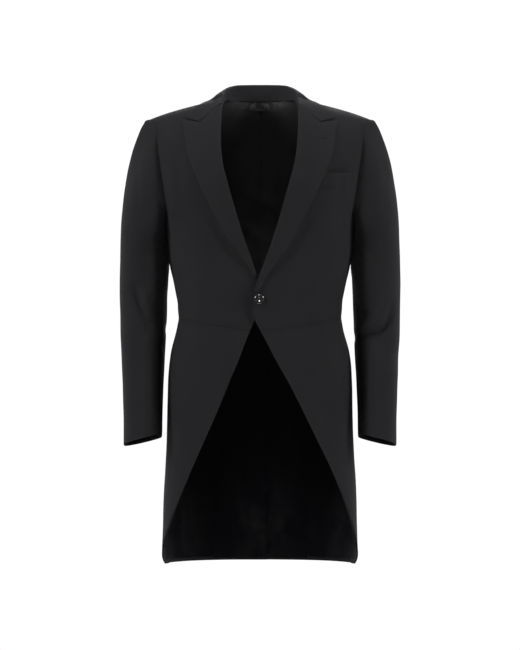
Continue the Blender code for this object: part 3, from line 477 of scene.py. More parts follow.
def edit(kind, action="SELECT"):
    """Goes into edit mode for points, edges or faces, with all of them selected or none."""
    bpy.ops.object.mode_set(mode="EDIT")
    bpy.ops.mesh.select_mode(type=kind)
    bpy.ops.mesh.select_all(action=action)


def modify(piece, name, kind, **values):
    """Gives a piece a modifier and applies it."""
    only(piece)
    modifier = piece.modifiers.new(name, kind)
    for key, value in values.items():
        setattr(modifier, key, value)
    bpy.ops.object.modifier_apply(modifier=modifier.name)


def bevel(piece, name, degrees, width):
    limit = math.radians(degrees)
    modify(piece, name, "BEVEL", limit_method="ANGLE", angle_limit=limit, width=width, segments=2)


def surfaced(piece, surface):
    piece.data.materials.clear()
    piece.data.materials.append(surface)


def side_of(node):
    """1 for the wearer's left, -1 for the right, 0 for a piece in the middle."""
    return {"left": 1, "right": -1}.get(node.rsplit("_", 1)[-1], 0)


def kind_of(node):
    return node.rsplit("_", 1)[0] if side_of(node) else node


def merged_copy(node, name):
    """A copy of a CAD piece with its triangles joined and turned back into the quads it was cut from."""
    piece = bpy.data.objects.new(name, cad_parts[node].data.copy())
    bpy.context.collection.objects.link(piece)
    only(piece)
    bpy.ops.mesh.customdata_custom_splitnormals_clear()
    edit("EDGE")
    bpy.ops.mesh.remove_doubles(threshold=MERGE)
    bpy.ops.mesh.tris_convert_to_quads(face_threshold=math.radians(50), shape_threshold=math.radians(120))
    bpy.ops.mesh.select_all(action="DESELECT")
    bpy.ops.mesh.edges_select_sharp(sharpness=math.radians(SHARP))
    bpy.ops.transform.edge_crease(value=1)
    bpy.ops.object.mode_set(mode="OBJECT")
    return piece


def cut_edges(piece):
    """The point numbers at the two ends of every sharp edge, where the cloth was cut."""
    only(piece)
    edit("EDGE", "DESELECT")
    bpy.ops.mesh.edges_select_sharp(sharpness=math.radians(SHARP))
    bpy.ops.object.mode_set(mode="OBJECT")
    return [tuple(edge.vertices) for edge in piece.data.edges if edge.select]


def spaced_between(co, pairs, step=0.002):
    """Points spaced along a piece's cut edges."""
    found = []
    for a, b in ((co[i], co[j]) for i, j in pairs):
        count = max(1, math.ceil(np.linalg.norm(b - a) / step))
        found += [a + (b - a) * i / count for i in range(count + 1)]
    return found


def smooth_out(piece, levels):
    """Subdivides a piece so that its surface still passes through the CAD's own points."""
    only(piece)
    modifier = piece.modifiers.new("smooth", "SUBSURF")
    modifier.levels = modifier.render_levels = levels
    modifier.use_creases = True
    target = places(piece.data)
    cage = target.copy()
    for _ in range(4):
        graph = bpy.context.evaluated_depsgraph_get()
        made = places(piece.evaluated_get(graph).data)[: len(target)]
        cage += target - made
        put(piece.data, cage)
    bpy.ops.object.modifier_apply(modifier=modifier.name)


class Distances:
    """How far points are from a set of places."""

    def __init__(self, found):
        self.tree = KDTree(len(found))
        for i, place in enumerate(found):
            self.tree.insert(place, i)
        self.tree.balance()

    def __call__(self, co):
        return np.array([self.tree.find(p)[2] for p in co])


def family_of(node):
    """Which sewn layer a piece belongs to: pieces are joined at seams only within their own layer."""
    kind = kind_of(node)
    if kind.endswith("lining"):
        return "lining"
    return "wool" if kind in (*WOOL_PANELS, *SLEEVES) else node


def cut_pieces():
    """Smooths every cut piece, draws the edges together at the seams, and notes where seams and edges run."""
    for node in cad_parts:
        if node != FRONT_BUTTON:
            PIECES[node] = merged_copy(node, "cut_" + node)
            finer = node == "hanger_loop" or "sleeve" in node
            smooth_out(PIECES[node], sizes("coat_cloth").levels + finer)
    graph = bpy.context.evaluated_depsgraph_get()
    trees = {node: BVHTree.FromObject(piece, graph) for node, piece in PIECES.items()}
    runs = {"seams": [], "edges": [], "armholes": []}
    moved, crossings = {}, []
    for node, piece in PIECES.items():
        co = places(piece.data)
        family = family_of(node)
        others = {key: tree for key, tree in trees.items() if key != node and family_of(key) == family}
        to_armhole = np.zeros(len(co), bool)
        sewn = np.zeros(len(co), bool)
        drawn = co.copy()
        gap = LINING_GAP if family == "lining" else SEAM_GAP
        for i, place in enumerate(co):
            hits = [(hit[3], key, hit[0]) for key, tree in others.items()
                    if (hit := tree.find_nearest(place, CROSS_GAP))[0]]
            if family == "wool" and len(hits) > 1:
                crossings.append(Vector(place))
            near = min((hit for hit in hits if hit[0] < gap), key=lambda hit: hit[0], default=None)
            if near:
                sewn[i] = True
                to_armhole[i] = ("sleeve" in node) != ("sleeve" in near[1])
                drawn[i] += (np.array(near[2]) - place) * SEAM_CLOSE
        moved[node] = drawn
        pairs = cut_edges(piece)
        free = [pair for pair in pairs if not (sewn[pair[0]] and sewn[pair[1]])]
        runs["edges"] += spaced_between(co, free)
        if family == "wool":
            runs["seams"] += spaced_between(co, [pair for pair in pairs if sewn[pair[0]] and sewn[pair[1]]])
            runs["armholes"] += list(co[to_armhole])
    for node, co in moved.items():
        put(PIECES[node].data, co)
    RUNS.update({name: Distances(found) for name, found in runs.items()})
    CROSSINGS.extend(gathered(crossings))


def gathered(crossings):
    """One middle for each group of places where three or more pieces meet."""
    groups = []
    for place in crossings:
        group = next((group for group in groups if (group[0] - place).length < CROSS_REACH), None)
        if group is None:
            groups.append([place])
        else:
            group.append(place)
    return [sum(group, Vector()) / len(group) for group in groups]


def path_points(path, count=24):
    """A smooth run of points through a crease's three or more places."""
    path = np.array(path, float)
    own = np.linspace(0, 1, len(path))
    at = np.linspace(0, 1, count)
    power = min(2, len(path) - 1)
    return np.stack([np.polyval(np.polyfit(own, path[:, i], power), at) for i in range(2)], axis=1)


def trough(flat, crease):
    """How deep one crease is at places given in its own view, in millimetres."""
    line = path_points(crease.path)
    away = np.linalg.norm(flat[:, None, :] - line[None, :, :], axis=2)
    along = away.argmin(axis=1) / (len(line) - 1)
    ends = 1 - np.abs(2 * along - 1) ** 2.5
    return crease.depth * ends * close_to(away.min(axis=1), crease.wide)


def body_outwards(co):
    """The direction out of the body at each place, level with the floor."""
    return unit(co / np.square(BODY_HALF))


def facing(co, where):
    """How squarely the body faces a view, from 0 to 1."""
    out = body_outwards(co)
    turned = {"front": -out[:, 1], "back": out[:, 1], "left": out[:, 0], "right": -out[:, 0]}[where]
    return ease((turned - 0.15) / 0.35)


def body_depth(co, creases):
    """How far the creases sink the body's cloth, in metres."""
    depth = np.zeros(len(co))
    for crease in creases:
        across = 0 if crease.where in ("front", "back") else 1
        depth += trough(co[:, [across, 2]] / MM, crease) * facing(co, crease.where)
    return depth * MM


class SleeveAxis:
    """The middle line of one sleeve, from the CAD's own sleeve pieces."""

    def __init__(self, side):
        word = "left" if side > 0 else "right"
        co = np.concatenate([places(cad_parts[f"{kind}_{word}"].data) for kind in SLEEVES])
        levels = np.arange(-0.66, -0.22, 0.03)
        middles = []
        for z in levels:
            near = co[np.abs(co[:, 2] - z) < 0.03]
            middles.append((near[:, :2].min(axis=0) + near[:, :2].max(axis=0)) / 2)
        self.side = side
        self.fits = [np.polyfit(levels, np.array(middles)[:, i], 3) for i in range(2)]

    def outwards(self, co):
        z = np.clip(co[:, 2], -0.70, -0.20)
        x, y = (co[:, i] - np.polyval(self.fits[i], z) for i in range(2))
        return unit(np.stack([x, y, np.zeros(len(co))], axis=1))

    def turn(self, out):
        """The turn round the sleeve in degrees: 0 at its front, 90 at its outside, 180 at its back."""
        return np.degrees(np.arctan2(out[:, 0] * self.side, -out[:, 1]))


def sleeve_depth(co, axis):
    """How far the creases sink a sleeve's cloth, in metres."""
    out = axis.outwards(co)
    depth = np.zeros(len(co))
    flat = np.stack([axis.turn(out) * ROUND_A_SLEEVE, co[:, 2] / MM], axis=1)
    for crease in SLEEVE_CREASES:
        if crease.where == axis.side:
            line = tuple((turn * ROUND_A_SLEEVE, z) for turn, z in crease.path)
            depth += trough(flat, crease._replace(path=line))
    seen = ease((-out[:, 1] - 0.05) / 0.35)
    for fold in SLEEVE_FRONT_FOLDS:
        if fold.path[0][0] * axis.side > 0:
            depth += trough(co[:, [0, 2]] / MM, fold) * seen
    return depth * MM * below(co, SLEEVE_HEAD, 0.05)


def sleeve_painted_shade(co, axis, out):
    """How dark the wool has stayed, from 0 to 1: most on the sleeve's side that lies against the body."""
    turn = axis.turn(out)
    start = -38 + 24 * below(co, ELBOW, 0.06)  # in degrees, further round below the elbow
    return ease((start - turn) / 34) * ease((turn + 165) / 40) * below(co, -0.10, 0.09)


def unevenness(co):
    """Slow waves that keep the cloth from looking moulded, from -1 to 1."""
    x, y, z = (co[:, i] / MM for i in range(3))
    slow = np.sin(x / 23.0 + 1.3 * np.sin(z / 41.0)) * np.sin(z / 37.0 + 0.9 * np.sin(y / 29.0 + x / 57.0))
    quick = np.sin(x / 11.0 + z / 17.0 + 0.7) * np.sin(y / 13.0 - z / 19.0)
    return 0.7 * slow + 0.3 * quick


def write_uv(piece, across, up):
    """Gives the piece a UV map in metres from two values at each point."""
    mesh = piece.data
    while mesh.uv_layers:
        mesh.uv_layers.remove(mesh.uv_layers[0])
    layer = mesh.uv_layers.new(name="cloth")
    index = np.empty(len(mesh.loops), np.int32)
    mesh.loops.foreach_get("vertex_index", index)
    layer.data.foreach_set("uv", np.stack([across[index], up[index]], axis=1).ravel().astype(np.float32))


def write_value(piece, name, value):
    layer = piece.data.attributes.new(name, "FLOAT", "POINT")
    layer.data.foreach_set("value", np.ascontiguousarray(value, dtype=np.float32))


def round_body():
    """The distance round the body, in metres, for each whole degree of bearing."""
    bearing = np.radians(np.arange(361))
    wide, deep, square = ROUND_BODY
    reach = np.abs(np.sin(bearing) / wide) ** square + np.abs(np.cos(bearing) / deep) ** square
    reach = reach ** (-1 / square)
    return run_along(np.stack([reach * np.sin(bearing), -reach * np.cos(bearing)], axis=1))


def lay_flat(piece, kind, side, axis):
    """The UV map of a piece: round the coat or sleeve, and up."""
    co = places(piece.data)
    across, up = co[:, 0], co[:, 2]
    if kind == "cuff_lining":
        across = co[:, 1] + co[:, 0] * 0.3
    elif kind in SLEEVES:
        turn = axis.turn(axis.outwards(co))
        if kind == "under_sleeve":
            turn = np.where(turn > 0, turn - 360, turn)
        across = turn * ROUND_A_SLEEVE * MM
    elif kind == "collar":
        up = co[:, 2] + co[:, 1]
    elif kind not in ("lapel", "chest_welt", "hanger_loop"):
        bearing = np.degrees(np.arctan2(co[:, 0], -co[:, 1]))
        past = (side or 1) * bearing < -90
        bearing = np.where(past, bearing + 360 * (side or 1), bearing)
        across = np.sign(bearing) * np.interp(np.abs(bearing), np.arange(361), round_body())
    write_uv(piece, across, up)


def finish_piece(piece, node):
    """Smooth shading, and what the frame needs to know about a cloth piece."""
    only(piece)
    bpy.ops.object.shade_smooth_by_angle(angle=math.radians(38))
    layer = piece.data.attributes.get("crease_edge")
    if layer:
        piece.data.attributes.remove(layer)
    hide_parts(node)
    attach(piece, "root")


def armhole_tuck(co, by_armhole):
    """How far the cloth dips at the armhole seams, towards the middle of the coat's depth."""
    high = below(co, SLEEVE_HEAD, 0.05) * (1 - below(co, UNDER_ARM, 0.03))
    return ARMHOLE_TUCK * close_to(by_armhole, ARMHOLE_REACH) * high * np.tanh(co[:, 1] / 0.02)


def let_out(co, node):
    """Lets a back lining out from its CAD edge to the tail's edge below the vent's top."""
    if node in VENT_LININGS:
        vent = VENT_LININGS[node]
        near = ease(1 - np.abs(co[:, 0] / MM - vent.edge) / 9) * ease((VENT_TOP - co[:, 2] / MM) / 30)
        co[:, 0] += (vent.to - vent.edge) * MM * near


def fit_edges(co, node, out, by_armhole, pressed):
    """Moves the edges that the CAD leaves plain: armholes, vent, neck, hem, cuffs and the welt's end."""
    kind = kind_of(node)
    if kind == "chest_welt":
        co[:, 0] -= WELT_MOVE * ease((WELT_END - co[:, 0]) / 0.012)
    if pressed:
        co[:, 1] -= armhole_tuck(co, by_armhole)
    if node == "back_left":  # it laps over the other tail from just above the vent
        lap = below(co, VENT_START, 0.014) * above(co, VENT_SEWN, 0.014)
        co[:, 0] -= VENT_LAP * lap * ease(1 - np.abs(co[:, 0]) / 0.012)
    if kind == "back_lining":  # its top is drawn up under the collar stand
        co -= out * (NECK_DRAWN_IN * above(co, STAND_FOOT, 0.021))[:, None]
        co[:, 2] += NECK_DRAWN_UP * above(co, STAND_MIDDLE, 0.011)
    if kind.endswith("lining"):  # it hangs down to just above the hem
        co[:, 2] -= LINING_DROP * below(co, HEM, 0.03)
    if kind in (*SLEEVES, "cuff_lining"):  # the back of the cuff hangs a little lower than its front
        co[:, 2] -= CUFF_DROP * ease((out[:, 1] + 0.1) / 0.7) * below(co, CUFF, 0.03)


def painted_shade_of(co, node, axis, out, by_armhole):
    """How little the wool has faded: inside the sleeves' bend and where cloth is turned into a seam."""
    kind = kind_of(node)
    # painted shade on the sleeves' sides that lie against the body
    fresh = sleeve_painted_shade(co, axis, out) if kind in SLEEVES else np.zeros(len(co))
    if kind in ("forepart", "top_sleeve"):
        # painted shade: a dark line along the armhole seams, below the neckline
        fresh = np.maximum(fresh, close_to(by_armhole, ARMHOLE_SHADE_LINE) * below(co, NECKLINE, 0.05))
    if node in ("forepart_left", "chest_welt"):
        # painted shade in lines along the welt's edges
        fresh = np.maximum(fresh, body_depth(co, WELT_SHADE_LINES) / MM)
    return fresh


def dress(node, surface, slot="black_wool", creases=()):
    """Makes one cut piece of cloth from its CAD piece, with its creases, seams and edges."""
    cloth = sizes("coat_cloth")
    kind, side = kind_of(node), side_of(node)
    satin_piece = slot == "black_satin_lining"
    piece = PIECES.pop(node)
    piece.name = piece.data.name = node + ("_satin" if satin_piece else "_wool")
    bevel(piece, "rolled edge", 55, cloth.edge_round * (0.3 if satin_piece else 1.0))
    co = places(piece.data)
    let_out(co, node)
    axis = SleeveAxis(side) if kind in (*SLEEVES, "cuff_lining") else None
    out = axis.outwards(co) if axis else body_outwards(co)
    sink = (sleeve_depth(co, axis) if axis else body_depth(co, creases)) * cloth.crease_strength
    seam = close_to(RUNS["seams"](co), cloth.seam_reach)
    rub = close_to(RUNS["edges"](co), RUB_AND_SHEEN_REACH)
    pressed = not satin_piece and kind not in UNPRESSED
    if pressed:
        sink = sink + cloth.seam_sink * seam
    sink = sink + cloth.slack * unevenness(co) * (1 - 0.8 * np.maximum(seam, rub))
    if kind == "chest_welt":
        sink = sink + WELT_SINK
    by_armhole = RUNS["armholes"](co)
    sewn_in = 1 - close_to(by_armhole, 0.022 - 0.018 * below(co, UNDER_ARM, 0.03))
    moved = sink * below(co, SHOULDER, 0.05) * sewn_in
    fit_edges(co, node, out, by_armhole, pressed)
    put(piece.data, co - out * moved[:, None])
    lay_flat(piece, kind, side, axis)
    write_value(piece, "seam", seam)
    write_value(piece, "rub", rub)
    write_value(piece, "fresh", painted_shade_of(co, node, axis, out, by_armhole))
    surfaced(piece, surface)
    finish_piece(piece, node)


def material(name):
    """Makes a function's material the first time that it is asked for, from a bare Principled shader."""
    def wrap(build):
        def surface():
            if name in bpy.data.materials:
                return bpy.data.materials[name]
            made = bpy.data.materials.new(name)
            made.use_nodes = True
            tree = made.node_tree
            tree.nodes.clear()
            end = tree.nodes.new("ShaderNodeOutputMaterial")
            shader = tree.nodes.new("ShaderNodeBsdfPrincipled")
            tree.links.new(shader.outputs["BSDF"], end.inputs["Surface"])
            build(tree, shader.inputs, sizes("coat_colours"))
            return made
        surface.__doc__ = build.__doc__
        return surface
    return wrap


def feed(tree, socket, value):
    """Sets a socket to a number or a colour, or links another socket to it."""
    if hasattr(value, "is_output"):
        tree.links.new(value, socket)
    elif isinstance(value, (int, float)):
        socket.default_value = value
    else:
        socket.default_value = (*value, 1)


def math_node(tree, operation, *values):
    node = tree.nodes.new("ShaderNodeMath")
    node.operation = operation
    for socket, value in zip(node.inputs, values):
        feed(tree, socket, value)
    return node.outputs[0]


def times(tree, first, *rest):
    for value in rest:
        first = math_node(tree, "MULTIPLY", first, value)
    return first


def plus(tree, first, *rest):
    for value in rest:
        first = math_node(tree, "ADD", first, value)
    return first


def apart(tree, vector):
    """The three parts of a vector."""
    node = tree.nodes.new("ShaderNodeSeparateXYZ")
    tree.links.new(vector, node.inputs["Vector"])
    return node.outputs


def stretched(tree, vector, scale):
    node = tree.nodes.new("ShaderNodeMapping")
    node.inputs["Scale"].default_value = scale
    tree.links.new(vector, node.inputs["Vector"])
    return node.outputs["Vector"]


def noise(tree, vector, scale, detail=2.0, rough=0.5):
    node = tree.nodes.new("ShaderNodeTexNoise")
    node.inputs["Scale"].default_value = scale
    node.inputs["Detail"].default_value = detail
    node.inputs["Roughness"].default_value = rough
    tree.links.new(vector, node.inputs["Vector"])
    return node.outputs["Fac"]


def spread(tree, value, low, high, to_low, to_high):
    node = tree.nodes.new("ShaderNodeMapRange")
    tree.links.new(value, node.inputs["Value"])
    for name, number in (("From Min", low), ("From Max", high), ("To Min", to_low), ("To Max", to_high)):
        node.inputs[name].default_value = number
    return node.outputs["Result"]


def blend_colours(tree, factor, first, second):
    node = tree.nodes.new("ShaderNodeMix")
    node.data_type = "RGBA"
    for number, value in ((0, factor), (6, first), (7, second)):
        feed(tree, node.inputs[number], value)
    return node.outputs[2]


def shade(colour, factor):
    return [part * factor for part in colour]


def new_group(name, inputs, outputs):
    """An empty node group, with the sockets where it starts and ends."""
    tree = bpy.data.node_groups.new(name, "ShaderNodeTree")
    for way, sockets in (("INPUT", inputs), ("OUTPUT", outputs)):
        for socket in sockets:
            kind = "Vector" if socket == "Place" else "Float"
            tree.interface.new_socket(name=socket, in_out=way, socket_type=f"NodeSocket{kind}")
    return tree, tree.nodes.new("NodeGroupInput").outputs, tree.nodes.new("NodeGroupOutput").inputs


def weave_group():
    """Ribs of a weave that run aslant, broken into single floats of yarn."""
    if "slanted_weave" in bpy.data.node_groups:
        return bpy.data.node_groups["slanted_weave"]
    tree, start, end = new_group("slanted_weave", ("Place", "Pitch", "Slant", "Waver"), ("Rib", "Tone"))
    turned = tree.nodes.new("ShaderNodeVectorRotate")
    turned.rotation_type = "Z_AXIS"
    tree.links.new(start["Place"], turned.inputs["Vector"])
    tree.links.new(start["Slant"], turned.inputs["Angle"])
    x, y, _ = apart(tree, turned.outputs["Vector"])
    waver = times(tree, noise(tree, start["Place"], 900, 1.0), start["Waver"])
    ribs = math_node(tree, "DIVIDE", x, start["Pitch"])
    floats = math_node(tree, "DIVIDE", y, start["Pitch"])
    phase = times(tree, plus(tree, ribs, waver), math.tau)
    rib = math_node(tree, "MULTIPLY_ADD", math_node(tree, "SINE", phase), 0.5, 0.5)
    number = math_node(tree, "FLOOR", plus(tree, ribs, 0.25))
    run = math_node(tree, "MULTIPLY_ADD", number, 0.5, floats)
    beat = math_node(tree, "SINE", times(tree, run, math.pi))
    height = times(tree, rib, math_node(tree, "MULTIPLY_ADD", math_node(tree, "ABSOLUTE", beat), 0.35, 0.65))
    tree.links.new(height, end["Rib"])
    yarn = noise(tree, turned.outputs["Vector"], 420)
    tree.links.new(plus(tree, times(tree, height, 0.55), times(tree, yarn, 0.45)), end["Tone"])
    return tree


def nap_group():
    """Fuzz and slow colour change of a brushed or handled cloth."""
    if "nap" in bpy.data.node_groups:
        return bpy.data.node_groups["nap"]
    tree, start, end = new_group("nap", ("Place",), ("Broad", "Fuzz", "Handle"))
    for name, scale, rough in (("Broad", 9, 0.5), ("Fuzz", 1700, 0.65), ("Handle", 70, 0.55)):
        tree.links.new(noise(tree, start["Place"], scale, 3.0, rough), end[name])
    return tree


def use_group(tree, made, **values):
    node = tree.nodes.new("ShaderNodeGroup")
    node.node_tree = made
    for name, value in values.items():
        feed(tree, node.inputs[name.capitalize()], value)
    return node.outputs


def woven(tree, pitch, degrees, waver):
    """The weave and the nap that all cloth has, and the place on the piece."""
    uv = tree.nodes.new("ShaderNodeUVMap")
    uv.uv_map = "cloth"
    place = tree.nodes.new("ShaderNodeTexCoord").outputs["Object"]
    weave = use_group(
        tree, weave_group(), place=uv.outputs["UV"], pitch=pitch, slant=math.radians(degrees), waver=waver
    )
    return weave, use_group(tree, nap_group(), place=place), place


def bump(tree, height, distance, strength, under=None):
    node = tree.nodes.new("ShaderNodeBump")
    node.inputs["Distance"].default_value = distance
    node.inputs["Strength"].default_value = strength
    tree.links.new(height, node.inputs["Height"])
    if under is not None:
        tree.links.new(under, node.inputs["Normal"])
    return node.outputs["Normal"]


def attribute(tree, name):
    node = tree.nodes.new("ShaderNodeAttribute")
    node.attribute_name = name
    return node.outputs["Fac"]


def finish(tree, shader, colour, rough, normal, **constants):
    """Feeds a shader's colour, roughness and normal, and sets its constants by their sockets' names."""
    tree.links.new(colour, shader["Base Color"])
    tree.links.new(rough, shader["Roughness"])
    if normal is not None:
        tree.links.new(normal, shader["Normal"])
    for name, value in constants.items():
        feed(tree, shader[SHADER_SOCKETS[name]], value)


SHADER_SOCKETS = {
    "specular": "Specular IOR Level",
    "sheen": "Sheen Weight",
    "sheen_rough": "Sheen Roughness",
    "sheen_tint": "Sheen Tint",
    "anisotropic": "Anisotropic",
    "ior": "IOR",
    "coat": "Coat Weight",
    "coat_rough": "Coat Roughness",
}


@material("black_wool_twill")
def wool(tree, shader, colours):
    """Black worsted with a fine slanting twill, a soft nap, pressed seams and rubbed edges."""
    weave, nap, _ = woven(tree, colours.twill_pitch, -42, 0.22)
    shares = ((weave["Tone"], 0.55), (nap["Fuzz"], 0.25), (nap["Broad"], 0.30))
    tone = plus(tree, *(times(tree, value, share) for value, share in shares))
    tone = spread(tree, tone, 0.28, 0.78, 0.0, 1.0)
    cloth = blend_colours(tree, tone, colours.wool[:], colours.wool_worn[:])
    # edges lightened partly as wear and partly as painted sheen
    worn = times(tree, attribute(tree, "rub"), spread(tree, nap["Handle"], 0.3, 0.7, 0.0, 0.3))
    cloth = blend_colours(tree, worn, cloth, shade(colours.wool_worn, 1.3))
    # painted shade: the wool darkens towards near black beside the body and along the armhole and welt seams
    cloth = blend_colours(tree, times(tree, attribute(tree, "fresh"), 0.72), cloth, shade(colours.wool, 0.12))
    cloth = blend_colours(tree, times(tree, attribute(tree, "seam"), 0.2), cloth, shade(colours.wool, 0.55))
    rough = spread(tree, nap["Fuzz"], 0.3, 0.7, 0.74, 0.93)
    ribs = bump(tree, weave["Rib"], 0.00016, 0.55)
    normal = bump(tree, nap["Handle"], 0.0009, 0.22, bump(tree, nap["Fuzz"], 0.00022, 0.4, ribs))
    finish(tree, shader, cloth, rough, normal,
           specular=0.08, sheen=0.035, sheen_rough=0.42, sheen_tint=(0.75, 0.78, 0.86))


@material("black_satin")
def satin(tree, shader, colours):
    """Black satin lining, with a fine rib and threads that catch the light unevenly."""
    weave, nap, place = woven(tree, colours.satin_pitch, -63, 0.12)
    x, _, z = apart(tree, place)
    tone = plus(tree, times(tree, weave["Tone"], 0.35), times(tree, noise(tree, place, 24, 4.0, 0.6), 0.65))
    tone = spread(tree, tone, 0.42, 0.68, 0.0, 1.0)
    lit = blend_colours(tree, tone, colours.satin[:], colours.satin_sheen[:])
    # painted shade makes it blackest between the tails, with painted sheen in patches at the foot, middle and
    # sides
    low = spread(tree, z, *SATIN_SHADE_LOW, 0.0, 1.0)
    sheen_clouds = noise(tree, stretched(tree, place, (1.0, 1.0, 0.55)), 17, 4.0, 0.6)
    sheen_clouds = times(tree, spread(tree, sheen_clouds, 0.40, 0.66, 0.0, 1.0), spread(tree, z, *SATIN_SHEEN_CLOUDS, 0.0, 1.0))
    beside = math_node(tree, "ABSOLUTE", math_node(tree, "SUBTRACT", x, 0.012))
    sheen_clouds = times(tree, sheen_clouds, plus(tree, spread(tree, beside, 0.03, 0.075, 1.0, 0.12),
                                      spread(tree, beside, 0.12, 0.15, 0.0, 0.7)))
    sheen_clouded = blend_colours(tree, sheen_clouds, colours.satin_shaded_low[:], shade(colours.satin, 0.95))
    lit = blend_colours(tree, low, lit, sheen_clouded)
    # painted light: it is lighter upwards, lighter still at the neck, with painted highlights at the neck's
    # middle
    lit = blend_colours(tree, spread(tree, z, *SATIN_LIT_HIGH, 0.0, 0.5), lit, colours.satin_lit_high[:])
    aside = math_node(tree, "ABSOLUTE", x)
    neck = times(tree, spread(tree, z, *SATIN_NECK_LIT, 0.0, 1.0),
                 spread(tree, noise(tree, place, 60, 3.0), 0.35, 0.65, 0.75, 1.3),
                 spread(tree, aside, 0.04, 0.07, 1.0, 0.35))
    lit = blend_colours(tree, neck, lit, colours.satin_neck_lit[:])
    neck_highlights = times(tree, spread(tree, noise(tree, place, 75, 3.0, 0.6), 0.46, 0.62, 0.0, 1.0),
                     spread(tree, aside, 0.02, 0.055, 1.0, 0.0), spread(tree, z, *SATIN_NECK_HIGHLIGHTS, 0.0, 1.0))
    lit = blend_colours(tree, neck_highlights, lit, shade(colours.satin_neck_lit, 2.2))
    rough = plus(tree, spread(tree, nap["Handle"], 0.3, 0.7, 0.34, 0.46), times(tree, low, 0.3))
    normal = bump(tree, nap["Handle"], 0.0012, 0.25, bump(tree, weave["Rib"], 0.00008, 0.35))
    finish(tree, shader, lit, rough, normal, specular=0.07, anisotropic=0.3)


@material("black_tape")
def tape(tree, shader, colours):
    """Black ribbed tape of the hanger loop, a little faded."""
    weave, nap, _ = woven(tree, colours.satin_pitch, 90, 0.1)
    tone = plus(tree, times(tree, weave["Tone"], 0.5), times(tree, nap["Handle"], 0.5))
    tone = spread(tree, tone, 0.3, 0.7, 0.0, 1.0)
    lit_tape = blend_colours(tree, tone, shade(colours.satin_neck_lit, 0.45), colours.satin_neck_lit[:])
    rough = spread(tree, nap["Handle"], 0.3, 0.7, 0.4, 0.55)
    finish(tree, shader, lit_tape, rough, bump(tree, weave["Rib"], 0.0001, 0.4), specular=0.3)


@material("black_horn")
def horn(tree, shader, colours):
    """Polished black horn, faintly streaked."""
    place = tree.nodes.new("ShaderNodeTexCoord").outputs["Object"]
    streak = noise(tree, stretched(tree, place, (1.0, 1.0, 4.5)), 230, 4.0, 0.6)
    tone = spread(tree, streak, 0.4, 0.75, 0.0, 1.0)
    streaked = blend_colours(tree, tone, colours.horn[:], shade(colours.horn, 3.2))
    rough = spread(tree, streak, 0.3, 0.7, 0.10, 0.19)
    finish(tree, shader, streaked, rough, bump(tree, noise(tree, place, 900), 0.00004, 0.3),
           ior=2.2, specular=1.0, coat=1.0, coat_rough=0.08)


@material("black_thread")
def thread(tree, shader, colours):
    """Black silk twist, plied and slightly shiny."""
    wave = tree.nodes.new("ShaderNodeTexWave")
    wave.wave_type = "BANDS"
    wave.bands_direction = "DIAGONAL"
    wave.inputs["Scale"].default_value = 900
    wave.inputs["Distortion"].default_value = 1.5
    tree.links.new(tree.nodes.new("ShaderNodeTexCoord").outputs["Object"], wave.inputs["Vector"])
    ply = wave.outputs["Fac"]
    plied = blend_colours(tree, ply, shade(colours.thread, 0.45), colours.thread[:])
    rough = spread(tree, ply, 0.0, 1.0, 0.62, 0.48)
    finish(tree, shader, plied, rough, bump(tree, ply, 0.00012, 0.6), specular=0.35)


@material("studio_paper")
def paper(tree, shader, _):
    """Pale studio paper."""
    place = tree.nodes.new("ShaderNodeTexCoord").outputs["Object"]
    pale = sizes("coat_studio").paper[:]
    grained = blend_colours(tree, noise(tree, place, 3.0), shade(pale, 0.985), pale)
    rough = spread(tree, noise(tree, place, 180), 0.3, 0.7, 0.85, 0.95)
    finish(tree, shader, grained, rough, None, specular=0.2)


def cords(name, paths, radius, surface, sides=1):
    """Round cords laid along paths in metres, joined as one piece that moves with the coat."""
    bpy.ops.object.select_all(action="DESELECT")
    bpy.ops.curve.primitive_nurbs_path_add()
    run = bpy.context.active_object
    run.name = name
    run.data.splines.clear()
    for path in paths:
        line = run.data.splines.new("NURBS")
        line.points.add(len(path) - 1)
        for point, place in zip(line.points, path):
            point.co = (*place, 1)
        line.order_u = min(3, len(path))
        line.use_endpoint_u = True
        line.resolution_u = 4
    run.data.bevel_depth = radius
    run.data.bevel_resolution = sides
    run.data.use_fill_caps = True
    bpy.ops.object.convert(target="MESH")
    cord = bpy.context.active_object
    cord.name = cord.data.name = name
    surfaced(cord, surface)
    bpy.ops.object.shade_smooth_by_angle(angle=math.radians(50))
    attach(cord, "root")


def on_cloth(piece, path, lift=0.0):
    """Where places seen from the front, in millimetres, lie on a piece's face, lifted off it in metres."""
    tree = BVHTree.FromObject(bpy.data.objects[piece], bpy.context.evaluated_depsgraph_get())
    found = []
    for x, z in path:
        place, normal, _, _ = tree.ray_cast(Vector((x * MM, -0.4, z * MM)), Vector((0, 1, 0)))
        if place is None:
            place, normal, _, _ = tree.find_nearest(Vector((x * MM, -0.11, z * MM)))
        found.append(place + normal * lift)
    return found


def button_frame():
    """The middle of the CAD button and its three axes, the last one facing out of the coat."""
    co = places(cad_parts[FRONT_BUTTON].data)
    middle = (co.min(axis=0) + co.max(axis=0)) / 2
    _, _, axes = np.linalg.svd(co - co.mean(axis=0), full_matrices=False)
    out = Vector(axes[2] * (-1 if axes[2][1] > 0 else 1))
    right = Vector((0, 0, 1)).cross(out).normalized()
    return Vector(middle), right, out.cross(right), out


